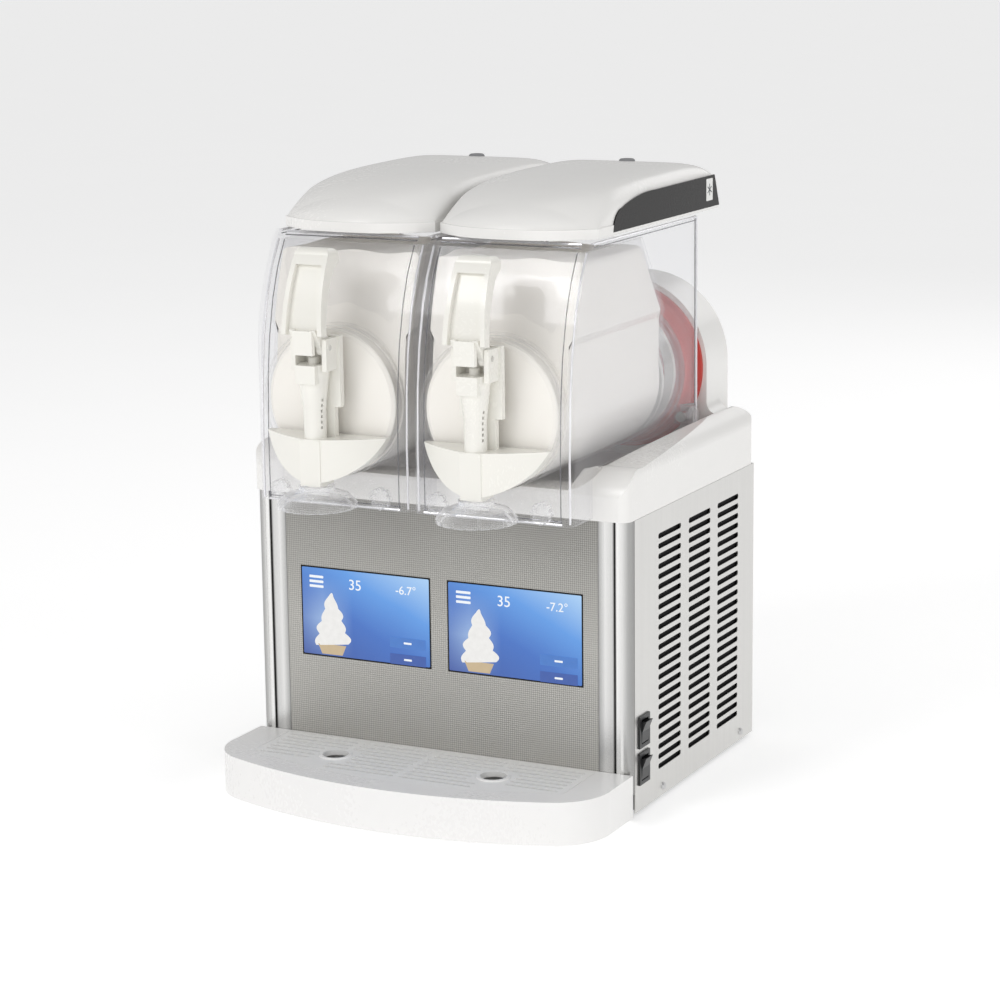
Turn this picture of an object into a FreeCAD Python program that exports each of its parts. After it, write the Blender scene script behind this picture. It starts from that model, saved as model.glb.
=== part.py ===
import FreeCAD, Part
import math
import os
from FreeCAD import Vector

# Twin-bowl frozen-cream dispenser. Millimetres; X right, Y to the back, Z up,
# origin under the middle of the machine on the surface it stands on.

# driving dimensions
gap = 0.3                    # free space between pieces that move past each other
running = 0.05               # radial clearance of a shaft in its bearing
sheet = 1.2                  # stainless sheet
plastic = 3.0                # moulded wall

case_half = 212.5            # half width over the side panels
case_front = -83.0
case_back = 234.0
case_low = 4.0
case_top = 303.3

front_panel_y = -92.6
front_panel_half = 177.2
display_x = (9.8, 160.8)
display_z = (131.4, 226.4)

deck_low = 303.6
deck_front = -99.0
deck_back = 236.0
deck_floor = 315.0
lip_z = 331.5
basin_half = 171.0
crest = 368.0                # top of the deck's side walls
tower_front = 177.0
tower_z = 414.0
tower_r = 92.4

bowl_x = 88.6                # bowl axes, left and right of the middle
axis_z = 412.0
shell_half = 87.1
shell_wall = 3.0
shell_top = 575.0
shell_back = 165.0
skirt_low = 306.0
tank_r = 76.5
tank_wall = 3.0
tank_back = 149.5
boss_r = 75.5
boss_front = -150.0
hopper_half = 81.0
hopper_top = 566.0

drum_r = 52.0
drum_front = -98.0
shaft_r = 8.0
auger_r = 72.0
auger_in = 53.2
auger_length = 226.0
auger_turns = 3.5
blade_half = 2.5             # half thickness of the ribbon

pin_z = 363.5                # round pins that the bowls' rear lugs slide on to

tap_y = -179.0
column_r = 11.3
column_head_r = 15.5
column_low = 333.0
column_top = 455.0
piston_r = 5.5
plug_r = 8.5
plate_y = (-168.0, -161.0)
pivot_y = -181.0
pivot_z = 472.0
pin_r = 3.0
outlet_z = 352.0             # height of the passage from the tank to the spout

lid_low = 577.0
lid_top = 630.0
lid_front = -115.0
lid_back = 236.0
lid_half = 86.0
trim_thick = 1.4

tray_top = 46.8
tray_low = 3.0
tray_back = -93.3
tray_half = 214.6
tray_apex = -236.0

grid_half = 176.0
grid_back = -100.0
grid_corner = -170.0
grid_apex = -208.0
grid_thick = 4.0
grid_rows = 9
grid_pitch = 10.4
slat_half = 40.0             # half length of a grid slot
slat_step = 86.0             # from one section of slots to the next
drain_x = 89.8
drain_y = -153.0
drain_r = 13.5

switch_y = (-75.0, -50.0)
switch_z = ((69.0, 102.0), (31.0, 64.0))
rocker_pivot_x = case_half - 3.0
trunnion_r = 1.5

louvre_columns = (4.5, 82.8, 160.5)
louvre_length = 58.0
louvre_width = 5.6
louvre_rows = 24
louvre_low = 36.5
louvre_pitch = 10.4

compressor_at = (105.0, 125.0)
condenser_x = (-205.0, -172.0)
condenser_y = (-30.0, 190.0)
condenser_z = (40.0, 270.0)
condenser_rows = 10
fin_count = 28
fin_thick = 0.8
tube_r = 4.0
fan_at = (80.0, 150.0)       # Y, Z of the fan's axis
fan_x = -150.0
fan_r = 80.0
spindle_r = 4.0
drier_at = (0.0, 175.0)
drier_low = 60.0
drier_high = 170.0
gland_x = 150.0
gland_z = 40.0
gland_r = 9.0

sides = {"l": -1, "r": 1}


# helpers
def place(plane, point):
    u, v = point
    return {"xz": Vector(u, 0, v), "yz": Vector(0, u, v), "xy": Vector(u, v, 0)}[plane]


def outline(plane, start, steps):
    """Closed wire. A step is the next corner, or (through, end) for an arc."""
    first = place(plane, start)
    here = first
    edges = []
    for step in steps:
        if isinstance(step[0], tuple):
            through, end = (place(plane, point) for point in step)
            edges.append(Part.Arc(here, through, end).toShape())
        else:
            end = place(plane, step)
            edges.append(Part.LineSegment(here, end).toShape())
        here = end
    if here.distanceToPoint(first) > 1e-6:
        edges.append(Part.LineSegment(here, first).toShape())
    return Part.Wire(edges)


normals = {"xz": Vector(0, 1, 0), "yz": Vector(1, 0, 0), "xy": Vector(0, 0, 1)}


def prism(plane, start, steps, low, high):
    """Outline extruded along the plane's normal from low to high."""
    face = Part.Face(outline(plane, start, steps))
    face.translate(normals[plane] * low)
    return face.extrude(normals[plane] * (high - low))


def box(x, y, z):
    corner = Vector(x[0], y[0], z[0])
    return Part.makeBox(x[1] - x[0], y[1] - y[0], z[1] - z[0], corner)


def rod(axis, centre, radius, low, high):
    """Round bar along an axis; centre holds the other two coordinates in X, Y, Z order."""
    direction = {"x": Vector(1, 0, 0), "y": Vector(0, 1, 0), "z": Vector(0, 0, 1)}[axis]
    spot = list(centre)
    spot.insert("xyz".index(axis), low)
    return Part.makeCylinder(radius, high - low, Vector(*spot), direction)


def lathe(points, axis):
    """Closed (radius, height) outline turned about Z or Y through the origin."""
    plane = {"z": "xz", "y": "xy"}[axis]
    wire = outline(plane, points[0], points[1:])
    direction = {"z": Vector(0, 0, 1), "y": Vector(0, 1, 0)}[axis]
    return Part.Face(wire).revolve(Vector(0, 0, 0), direction, 360)


def join(pieces):
    pieces = list(pieces)
    return pieces[0].fuse(pieces[1:]).removeSplitter() if len(pieces) > 1 else pieces[0]


def cut(body, tools):
    return body.cut(list(tools)).removeSplitter()


def moved(shape, x=0.0, y=0.0, z=0.0):
    copy = shape.copy()
    copy.translate(Vector(x, y, z))
    return copy


def mirrored(shape):
    return shape.mirror(Vector(0, 0, 0), Vector(1, 0, 0))


def rounded(shape, radius, wanted):
    """Fillet the edges that pass the test."""
    return shape.makeFillet(radius, [edge for edge in shape.Edges if wanted(edge)])


def along(axis):
    """Test for straight edges that run along an axis."""
    def test(edge):
        start, end = edge.Vertexes[0].Point, edge.Vertexes[-1].Point
        run = [abs(end.x - start.x), abs(end.y - start.y), abs(end.z - start.z)]
        chosen = run.pop("xyz".index(axis))
        return chosen > 1e-3 and max(run) < 1e-6
    return test


def slot_wire(plane, centre, length, width):
    """Round-ended slot that is long in the plane's first direction."""
    u, v = centre
    half = (length - width) / 2
    r = width / 2
    steps = [(u + half, v - r), ((u + half + r, v), (u + half, v + r)), (u - half, v + r),
             ((u - half - r, v), (u - half, v - r))]
    return outline(plane, (u - half, v - r), steps)


def pierced_plate(plane, border, holes, low, high):
    """Plate with holes given as wires."""
    face = Part.makeFace([border] + holes, "Part::FaceMakerBullseye")
    face.translate(normals[plane] * low)
    return face.extrude(normals[plane] * (high - low))


def rectangle(plane, u, v):
    return outline(plane, (u[0], v[0]), [(u[1], v[0]), (u[1], v[1]), (u[0], v[1])])


def bent_pipe(points, bend, radius):
    """Round pipe: straight runs joined by tangent arcs."""
    stops = [Vector(*point) for point in points]
    edges = []
    here = stops[0]
    for before, corner, after in zip(stops, stops[1:], stops[2:]):
        back = (before - corner).normalize()
        on = (after - corner).normalize()
        half = back.getAngle(on) / 2
        reach = bend / math.tan(half)
        middle = (back + on).normalize() * (bend / math.sin(half) - bend)
        start, end = corner + back * reach, corner + on * reach
        edges.append(Part.LineSegment(here, start).toShape())
        edges.append(Part.Arc(start, corner + middle, end).toShape())
        here = end
    edges.append(Part.LineSegment(here, stops[-1]).toShape())
    path = Part.Wire(edges)
    ring = Part.Wire([Part.Circle(stops[0], stops[1] - stops[0], radius).toShape()])
    return path.makePipeShell([ring], True, False)


# casing
def louvres(plane, columns):
    wires = []
    for column in columns:
        for row in range(louvre_rows):
            centre = (column, louvre_low + row * louvre_pitch)
            wires.append(slot_wire(plane, centre, louvre_length, louvre_width))
    return wires


def side_panel(side):
    holes = louvres("yz", louvre_columns)
    if side > 0:
        holes += [rectangle("yz", (switch_y[0] + 1.5, switch_y[1] - 1.5), (low + 1.5, high - 1.5))
                  for low, high in switch_z]
    border = rectangle("yz", (case_front, case_back), (case_low, case_top))
    plate = pierced_plate("yz", border, holes, case_half - sheet, case_half)
    return plate if side > 0 else mirrored(plate)


def rear_grille():
    half = case_half - sheet - gap
    gland_hole = Part.Wire([Part.Circle(Vector(gland_x, 0, gland_z), normals["xz"], gland_r).toShape()])
    rows = [slot_wire("xz", (column, low), 70.0, 6.0)
            for column in (-130.0, -45.0, 45.0, 130.0) for low in range(70, 270, 12)]
    border = rectangle("xz", (-half, half), (case_low + 6.0, case_top))
    return pierced_plate("xz", border, rows + [gland_hole], case_back - sheet, case_back)


def base_pan():
    half = case_half - sheet - gap
    outer = box((-half, half), (case_front, case_back - sheet - gap), (8.0, 24.0))
    wall = 1.5
    inner = box((-half + wall, half - wall), (case_front + wall, case_back - sheet - gap - wall),
                (8.0 + wall, 25.0))
    return outer.cut(inner)


def feet():
    profile = [(0.0, 0.0), (11.0, 0.0), (13.0, 2.0), (13.0, 8.0), (0.0, 8.0)]
    foot = lathe(profile, "z")
    return Part.Compound([moved(foot, x, y) for x in (-185.0, 185.0) for y in (-60.0, 210.0)])


def corner_posts():
    """Stepped stainless pillars between the front panel and the side panels."""
    inner = front_panel_half + 0.2
    steps = [(inner, -92.6), (inner + 17.0, -92.6), (inner + 17.0, -90.2), (inner + 19.0, -90.2),
             (inner + 19.0, -93.0), (inner + 24.0, -93.0), (inner + 26.0, -90.6),
             (case_half - 7.0, -90.6), ((case_half - 2.05, -88.55), (case_half, -83.6)),
             (case_half - 2.0, -83.6), (case_half - 8.0, -88.0), (inner + 2.0, -88.0),
             (inner + 2.0, -78.0), (inner, -78.0)]
    post = prism("xy", steps[-1], steps[:-1], 25.0, case_top)
    return Part.Compound([post, mirrored(post)])


def front_panel():
    windows = []
    for side in sides.values():
        low, high = sorted(side * edge for edge in display_x)
        windows.append(rectangle("xz", (low - gap, high + gap),
                                 (display_z[0] - gap, display_z[1] + gap)))
    border = rectangle("xz", (-front_panel_half, front_panel_half), (25.0, case_top))
    return pierced_plate("xz", border, windows, front_panel_y, front_panel_y + 2.0)


def display(side):
    low, high = sorted(side * edge for edge in display_x)
    glass = box((low, high), (front_panel_y, front_panel_y + 3.0), display_z)
    module = box((low + 6.0, high - 6.0), (front_panel_y + 3.0, front_panel_y + 10.0),
                 (display_z[0] + 6.0, display_z[1] - 6.0))
    return join([glass, module])


def control_board():
    board = box((-150.0, 150.0), (-70.0, -68.4), (135.0, 222.0))
    parts = [box((x, x + 26.0), (-68.4, -54.0), (z, z + 18.0))
             for x in (-130.0, -60.0, 10.0, 90.0) for z in (145.0, 190.0)]
    posts = [rod("y", (x, z), 3.0, -79.6, -70.0) for x in (-140.0, 140.0) for z in (150.0, 215.0)]
    return join([board] + parts + posts)


def switch_frames():
    frames = []
    for low, high in switch_z:
        flange = box((case_half, case_half + 2.0), switch_y, (low, high))
        well = box((case_half - 18.0, case_half), (switch_y[0] + 1.8, switch_y[1] - 1.8),
                   (low + 1.8, high - 1.8))
        hollow = box((case_half - 15.0, case_half + 3.0), (switch_y[0] + 4.0, switch_y[1] - 4.0),
                     (low + 4.0, high - 4.0))
        sockets = rod("y", (rocker_pivot_x, (low + high) / 2), trunnion_r + running,
                      switch_y[0] + 2.4, switch_y[1] - 2.4)
        frames.append(cut(join([flange, well]), [hollow, sockets]))
    return Part.Compound(frames)


def rocker(low, high):
    """Seesaw button on trunnions: two flats that meet at a shallow angle over the pivot."""
    middle = (low + high) / 2
    half = (high - low) / 2 - 5.2
    steps = [(rocker_pivot_x + 5.0, middle - half), (rocker_pivot_x + 5.6, middle),
             (rocker_pivot_x + 10.0, middle + half), (rocker_pivot_x - 2.0, middle + half - 2.5),
             (rocker_pivot_x - 6.0, middle), (rocker_pivot_x - 2.0, middle - half + 2.5)]
    seesaw = prism("xz", steps[0], steps[1:], switch_y[0] + 4.4, switch_y[1] - 4.4)
    trunnions = rod("y", (rocker_pivot_x, middle), trunnion_r, switch_y[0] + 2.7, switch_y[1] - 2.7)
    return join([seesaw, trunnions])


def panel_screws():
    screw = lathe([(0.0, 0.0), (4.0, 0.0), (3.2, 2.0), (0.0, 2.2)], "z")
    screw.rotate(Vector(0, 0, 0), Vector(0, 1, 0), 90)
    screw.translate(Vector(case_half, 0, 0))
    right = [moved(screw, 0, y, 13.2) for y in (-12.4, 198.8)]
    return Part.Compound(right + [mirrored(one) for one in right])


# deck and tower
def tower_outline(inset):
    """Two arches side by side, flared where they meet the deck."""
    r = tower_r - inset
    foot = 340.0
    half = bowl_x + r
    meet = math.sqrt(r * r - bowl_x * bowl_x)
    steps = [(half, foot), (half, tower_z), ((bowl_x, tower_z + r), (0.0, tower_z + meet)),
             ((-bowl_x, tower_z + r), (-half, tower_z)), (-half, foot)]
    return (-half, foot), steps


def deck():
    front_view = [(case_half, deck_low), (case_half, 345.0), ((207.0, 360.0), (196.0, crest)),
                  ((184.0, 361.0), (basin_half, 350.0)), (-basin_half, 350.0),
                  ((-184.0, 361.0), (-196.0, crest)), ((-207.0, 360.0), (-case_half, 345.0))]
    body = prism("xz", (-case_half, deck_low), front_view, deck_front, deck_back)
    side_view = [(deck_back, deck_low), (deck_back, 340.0), ((230.0, 358.0), (214.0, 367.0)),
                 (150.0, 368.5), (-62.0, 352.0), ((-88.0, 346.0), (deck_front, 328.0))]
    body = body.common(prism("yz", (deck_front, deck_low), side_view, -case_half, case_half))
    plan = box((-case_half, case_half), (deck_front, deck_back), (deck_low, crest + 10.0))
    body = body.common(rounded(plan, 12.0, along("z")))
    start, steps = tower_outline(0.0)
    body = join([body, prism("xz", start, steps, tower_front, deck_back)])
    body = join([body] + [flare(side) for side in sides.values()])
    tools = [basin(), lip_notch()]
    start, steps = tower_outline(plastic)
    tools.append(prism("xz", start, steps, tower_front + plastic, deck_back - 2.0 - gap))
    start, steps = tower_outline(plastic - 1.5)
    tools.append(prism("xz", start, steps, deck_back - 2.0 - gap, deck_back + 1.0))
    for side in sides.values():
        tools.append(rod("y", (side * bowl_x, axis_z), drum_r + 0.1, tower_front - 5.0, 190.0))
        wall = sorted((side * (basin_half + 4.0), side * (case_half - 4.0)))
        tools.append(box(wall, (-45.0, tower_front - 1.0), (deck_low - 1.0, 341.0)))
    tools.append(box((-case_half + 4.0, case_half - 4.0), (-70.0, deck_back - 3.0),
                     (deck_low - 1.0, deck_floor - plastic)))
    tools.append(box((-bowl_x - tower_r + 6.0, bowl_x + tower_r - 6.0),
                     (tower_front + plastic, deck_back - 3.0), (deck_low - 1.0, 345.0)))
    return cut(body, tools)


def flare(side):
    """Concave fillet strip between the tower's outer wall and the deck's side wall."""
    x = side * (bowl_x + tower_r)
    out = side * 13.0
    steps = [(x + out, 364.0), ((x + out * 0.29, 364.0 + 3.8), (x, 377.0)), (x - side, 377.0),
             (x - side, 350.0), (x + out, 350.0)]
    return prism("xz", steps[-1], steps[:-1], tower_front, 214.0)


def basin():
    pocket = box((-basin_half, basin_half), (-60.0, tower_front), (deck_floor, crest + 20.0))
    return rounded(pocket, 10.0, along("z"))


def lip_notch():
    """Low front of the deck: an S-curved hollow that fades out towards the back."""
    steps = [(148.0, lip_z), ((160.0, lip_z + 3.0), (172.0, 341.0)), (188.0, 350.5),
             ((198.0, 356.5), (206.0, 366.0)), (206.0, 420.0), (-206.0, 420.0), (-206.0, 366.0),
             ((-198.0, 356.5), (-188.0, 350.5)), (-172.0, 341.0),
             ((-160.0, lip_z + 3.0), (-148.0, lip_z))]
    face = Part.Face(outline("xz", steps[0], steps[1:]))
    face.translate(Vector(0, deck_front - 1.0, 0))
    high_part = face.extrude(Vector(0, 80.0, 30.0))
    low_part = box((-148.0, 148.0), (deck_front - 1.0, -59.0), (lip_z, 400.0))
    return high_part.fuse(low_part)


def tower_back_cover():
    start, steps = tower_outline(plastic - 1.5 + gap)
    cover = prism("xz", start, steps, deck_back - 2.0, deck_back - 0.3)
    vents = [box((side * bowl_x - 35.0, side * bowl_x + 35.0), (deck_back - 3.0, deck_back),
                 (z, z + 4.0)) for side in sides.values() for z in range(380, 450, 12)]
    return cut(cover, vents)


def bowl_pins():
    """Round pins on the tower that the bowls' rear lugs slide on to."""
    pins = []
    for side in sides.values():
        for off in (-73.0, 73.0):
            centre = (side * bowl_x + off, pin_z)
            pins.append(rod("y", centre, 5.6, 152.0, tower_front))
    return Part.Compound(pins)


# cooling and drive
def evaporator(side):
    profile = [(shaft_r + running, drum_front), (20.0, drum_front), (20.0, drum_front + 6.0),
               ((44.0, drum_front + 9.0), (drum_r, drum_front + 24.0)),
               (drum_r, tower_front + plastic), (62.0, tower_front + plastic),
               (62.0, tower_front + plastic + 2.5), (drum_r - 3.0, tower_front + plastic + 2.5),
               (drum_r - 3.0, drum_front + 26.0), (shaft_r + running, drum_front + 14.0)]
    return moved(lathe(profile, "y"), side * bowl_x, 0.0, axis_z)


def gasket(side):
    """Wide soft seal between the tower's face and the back of the tank."""
    inner = drum_r + 0.2
    profile = [(inner, 150.0), (79.0, 150.0), (80.0, 153.0), (78.5, 157.0), (82.0, 163.0),
               (84.0, 170.0), (88.2, 173.0), (88.2, tower_front), (inner, tower_front)]
    ring = lathe(profile, "y")
    notches = [box(sorted((off * 62.5, off * 95.0)), (149.0, tower_front + 1.0),
                   (-95.0, pin_z + 12.0 - axis_z)) for off in (-1, 1)]
    return moved(cut(ring, notches), side * bowl_x, 0.0, axis_z)


def shaft_seal(side):
    profile = [(shaft_r + 0.1, drum_front - 8.0), (13.0, drum_front - 8.0), (16.0, drum_front - 5.0),
               (16.0, drum_front - 0.1), (shaft_r + 0.1, drum_front - 0.1)]
    return moved(lathe(profile, "y"), side * bowl_x, 0.0, axis_z)


def drive_shaft(side):
    profile = [(0.0, drum_front - 22.0), (6.0, drum_front - 22.0), (shaft_r, drum_front - 20.0),
               (shaft_r, 193.0), (0.0, 193.0)]
    shaft = moved(lathe(profile, "y"), side * bowl_x, 0.0, axis_z)
    flats = [box((side * bowl_x - 9.0, side * bowl_x + 9.0), (drum_front - 23.0, drum_front - 11.0),
                 z) for z in ((axis_z + 6.0, axis_z + 9.0), (axis_z - 9.0, axis_z - 6.0))]
    return shaft.cut(flats)


def gearmotor(side):
    x = side * bowl_x
    gearbox = rod("y", (x, axis_z), 44.0, 187.0, 207.0)
    motor = rod("y", (x, axis_z), 33.0, 207.0, 230.0)
    lugs = [rod("y", (x + 36.0 * math.cos(turn), axis_z + 36.0 * math.sin(turn)), 5.0,
                182.5, 187.0) for turn in (math.pi / 2, math.pi * 7 / 6, math.pi * 11 / 6)]
    fins = [box((x - 38.0, x + 38.0), (209.0 + 4.0 * row, 210.6 + 4.0 * row),
                (axis_z - 18.0, axis_z + 18.0)) for row in range(5)]
    body = join([gearbox, motor] + lugs + fins)
    return body.cut(rod("y", (x, axis_z), shaft_r + running, 186.0, 194.0))


def wound(helix, section):
    """Section carried along a helix about Z, kept upright so that its radius doesn't drift."""
    sweep = Part.BRepOffsetAPI.MakePipeShell(Part.Wire(helix.Edges))
    sweep.setBiNormalMode(Vector(0, 0, 1))
    sweep.add(section, False, False)
    sweep.build()
    sweep.makeSolid()
    return sweep.shape()


def auger(side):
    """Scraper: a ribbon wound round the drum, carried by a hub at the front and a ring behind."""
    start = drum_front + 12.0
    end = start + auger_length
    helix = Part.makeLongHelix(auger_length / auger_turns, auger_length, (auger_in + auger_r) / 2, 0.0)
    blade = wound(helix, rectangle("xz", (auger_in, auger_r), (-blade_half, blade_half)))
    blade.translate(Vector(0, 0, start))
    hub = rod("z", (0.0, 0.0), 17.0, drum_front - 21.5, drum_front - 8.4)
    arm_span = (drum_front - 18.0, drum_front - 9.0)
    arms = [box((0.0, 66.0), (-6.0, 6.0), arm_span), box((-66.0, 0.0), (-6.0, 6.0), arm_span)]
    half_turn = auger_length / auger_turns / 2
    posts = [box((58.0, 68.0), (-6.0, 6.0), (arm_span[0], start + 2.0)),
             box((-68.0, -58.0), (-6.0, 6.0), (arm_span[0], start + half_turn + 2.0))]
    ring_r = (auger_in + 8.0, auger_r - 0.4)
    ring = lathe([(ring_r[0], end - 3.0), (ring_r[1], end - 3.0), (ring_r[1], end + 3.0),
                  (ring_r[0], end + 3.0)], "z")
    body = blade.fuse([hub, ring] + arms + posts)
    bore = rod("z", (0.0, 0.0), shaft_r + running, drum_front - 30.0, drum_front + 5.0)
    flats = [box((-10.0, 10.0), y, (drum_front - 31.0, drum_front - 11.0))
             for y in ((6.0 + running, 10.0), (-10.0, -6.0 - running))]
    body = body.cut(bore.cut(flats))
    body.rotate(Vector(0, 0, 0), Vector(1, 0, 0), -90)
    return moved(body, side * bowl_x, 0.0, axis_z)


def compressor():
    x, y = compressor_at
    shell = lathe([(0.0, 24.0), (40.0, 24.0), ((62.0, 34.0), (68.0, 60.0)), (70.0, 60.0),
                   (70.0, 66.0), (68.0, 66.0), (68.0, 130.0), ((57.0, 161.0), (24.0, 175.0)),
                   (0.0, 175.0)], "z")
    plate = box((-78.0, 78.0), (-50.0, 50.0), (18.0, 24.0))
    mounts = [rod("z", (u, v), 9.0, 9.5, 18.0) for u in (-66.0, 66.0) for v in (-38.0, 38.0)]
    terminal = box((-24.0, 24.0), (-84.0, -66.0), (76.0, 116.0))
    return moved(join([shell, plate, terminal] + mounts), x, y, 0.0)


def condenser():
    """Finned coil close behind the left louvres."""
    row_pitch = (condenser_z[1] - condenser_z[0]) / condenser_rows
    rows = [condenser_z[0] + row_pitch * (row + 0.5) for row in range(condenser_rows)]
    columns = [condenser_x[0] + 9.0, condenser_x[1] - 9.0]
    centres = [(x, z) for x in columns for z in rows]
    holes = [Part.Wire([Part.Circle(Vector(x, 0, z), normals["xz"], tube_r).toShape()])
             for x, z in centres]
    fin = pierced_plate("xz", rectangle("xz", condenser_x, condenser_z), holes, 0.0, fin_thick)
    pitch = (condenser_y[1] - condenser_y[0]) / (fin_count - 1)
    fins = [moved(fin, 0.0, condenser_y[0] + pitch * number) for number in range(fin_count)]
    tubes = [rod("y", centre, tube_r, condenser_y[0] - 8.0, condenser_y[1] + 8.0)
             for centre in centres]
    return Part.Compound(fins + tubes)


def fan_shroud():
    """Ring and plate in front of the coil, with a cross of arms that carries the fan's motor."""
    y, z = fan_at
    opening_r = fan_r + 3.0
    plate = box((fan_x - 14.0, fan_x - 12.0), (y - 100.0, y + 100.0), (z - 126.0, z + 110.0))
    ring = rod("x", (y, z), opening_r + plastic, fan_x - 14.0, fan_x + 14.0)
    opening = rod("x", (y, z), opening_r, fan_x - 16.0, fan_x + 16.0)
    reach = opening_r + 2.0
    arm_x = (fan_x + 10.0, fan_x + 14.0)
    arms = [box(arm_x, (y - reach, y + reach), (z - 4.0, z + 4.0)),
            box(arm_x, (y - 4.0, y + 4.0), (z - reach, z + reach))]
    motor = rod("x", (y, z), 24.0, fan_x + 10.0, fan_x + 48.0)
    spindle = rod("x", (y, z), spindle_r, fan_x - 9.0, fan_x + 10.0)
    return join([plate.cut(opening), ring.cut(opening)] + arms + [motor, spindle])


def fan_rotor():
    """Five slanting blades on a hub that turns on the motor's spindle."""
    y, z = fan_at
    hub = rod("x", (y, z), 20.0, fan_x - 10.0, fan_x + 8.0)
    bore = rod("x", (y, z), spindle_r + running, fan_x - 11.0, fan_x + 9.0)
    span = rod("x", (y, z), fan_r, fan_x - 10.0, fan_x + 8.0)
    blades = []
    for number in range(5):
        blade = box((-1.2, 1.2), (-24.0, 24.0), (18.0, fan_r))
        blade.rotate(Vector(0, 0, 0), Vector(0, 0, 1), 62.0)
        blade.rotate(Vector(0, 0, 0), Vector(1, 0, 0), 72.0 * number)
        blades.append(moved(blade, fan_x - 1.0, y, z).common(span))
    return join([hub.cut(bore)] + blades).cut(bore)


def filter_drier():
    """Copper can between the condenser and the two feeds."""
    x, y = drier_at
    can_r, neck_r = 14.0, 4.0
    profile = [(0.0, drier_low), (neck_r, drier_low), (neck_r, drier_low + 10.0),
               (can_r, drier_low + 20.0), (can_r, drier_high - 20.0), (neck_r, drier_high - 10.0),
               (neck_r, drier_high), (0.0, drier_high)]
    return moved(lathe(profile, "z"), x, y)


def refrigerant_pipes():
    """Discharge line to the coil, liquid line to the drier, and one feed up to each drum."""
    x, y = compressor_at
    drier_x, drier_y = drier_at
    high, wall_y = 235.0, 205.0
    discharge = [(x - 30.0, y, 175.3), (x - 30.0, y, high), (-60.0, y, high), (-60.0, wall_y, high),
                 (-196.0, wall_y, high)]
    low, back_y = 28.0, 212.0
    liquid = [(-60.0, back_y, low), (drier_x, back_y, low), (drier_x, drier_y, low),
              (drier_x, drier_y, drier_low)]
    pipes = [bent_pipe(discharge, 16.0, 4.0), bent_pipe(liquid, 12.0, 3.0)]
    manifold_top = drier_high + 9.0
    bend_z = 262.0
    for side in sides.values():
        near, far = side * 10.0, side * (bowl_x - 30.0)
        feed = [(near, drier_y, manifold_top), (near, drier_y, bend_z), (far, drier_y, bend_z),
                (far, 220.0, bend_z), (far, 220.0, 355.0)]
        pipes.append(bent_pipe(feed, 12.0, 2.5))
    manifold = box((-14.0, 14.0), (drier_y - 6.0, drier_y + 6.0), (drier_high, manifold_top))
    return Part.Compound(pipes + [manifold])


def cord_gland():
    outer = lathe([(4.0, -8.0), (8.9, -8.0), (8.9, 0.1), (12.0, 0.1), (12.0, 1.6), (4.0, 1.6)], "y")
    return moved(outer, gland_x, case_back, gland_z)


# bowls
def shell_side(inset):
    """Side view of the clear cover: bowed front, straight top and back."""
    i = inset
    return [(shell_back + i, skirt_low), (shell_back + i, shell_top + i), (-98.0 + i, shell_top + i),
            (-104.0 + i * 0.9, shell_top - 6.0), ((-131.5 + i, 510.0), (-145.0 + i, 431.0)),
            ((-147.4 + i, 370.0), (-147.0 + i, skirt_low))]


def bowl_shell(side):
    """Clear cover: front window and two side walls, open behind, above and below."""
    outer = prism("yz", (-147.0, skirt_low), shell_side(0.0), -shell_half, shell_half)
    outer = outer.common(rounded(box((-shell_half, shell_half), (-148.5, 300.0), (200.0, 700.0)),
                                 12.0, along("z")))
    half = shell_half - shell_wall
    inner = prism("yz", (-147.0 + shell_wall, skirt_low), shell_side(shell_wall), -half, half)
    inner = inner.common(rounded(box((-half, half), (-145.5, 300.0), (200.0, 700.0)), 9.0,
                                 along("z")))
    under = [(shell_back + 1.0, 354.5), (-74.0, 354.5), (-101.0, 345.0), (-101.0, 300.0)]
    clearance = prism("yz", (shell_back + 1.0, 300.0), under, -100.0, 100.0)
    boss_hole = rod("y", (0.0, axis_z), boss_r + 1.0, -160.0, -120.0)
    opening = box((-half, half), (shell_back - 5.0, shell_back + 5.0), (300.0, 580.0))
    body = cut(outer, [inner, clearance, boss_hole, opening, moved(inner, 0, 0, -9.0)])
    lugs = []
    for off in (-1, 1):
        x = sorted((off * 64.0, off * half))
        tab = box(x, (157.0, shell_back), (354.5, 374.0))
        lugs.append(tab.cut(rod("y", (off * 73.0, pin_z), 6.0, 150.0, 170.0)))
    return moved(join([body] + lugs), side * bowl_x)


def hopper_side(inset):
    i = inset
    return [(-131.0 + i, axis_z), ((-123.0 + i, 480.0), (-98.0 + i, hopper_top)),
            (36.0 - i, hopper_top), (98.0 - i, 478.0), (98.0 - i, axis_z)]


def hopper(inset):
    """Upper part of the tank, wider above a crease."""
    half = tank_r - inset
    wide = hopper_half - inset
    steps = [(half, axis_z), (half, 478.0), (wide, 486.0), (wide, hopper_top), (-wide, hopper_top),
             (-wide, 486.0), (-half, 478.0)]
    front_view = prism("xz", (-half, axis_z), steps, -200.0, 200.0)
    side_steps = hopper_side(inset)
    return front_view.common(prism("yz", side_steps[0], side_steps[1:], -100.0, 100.0))


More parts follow.
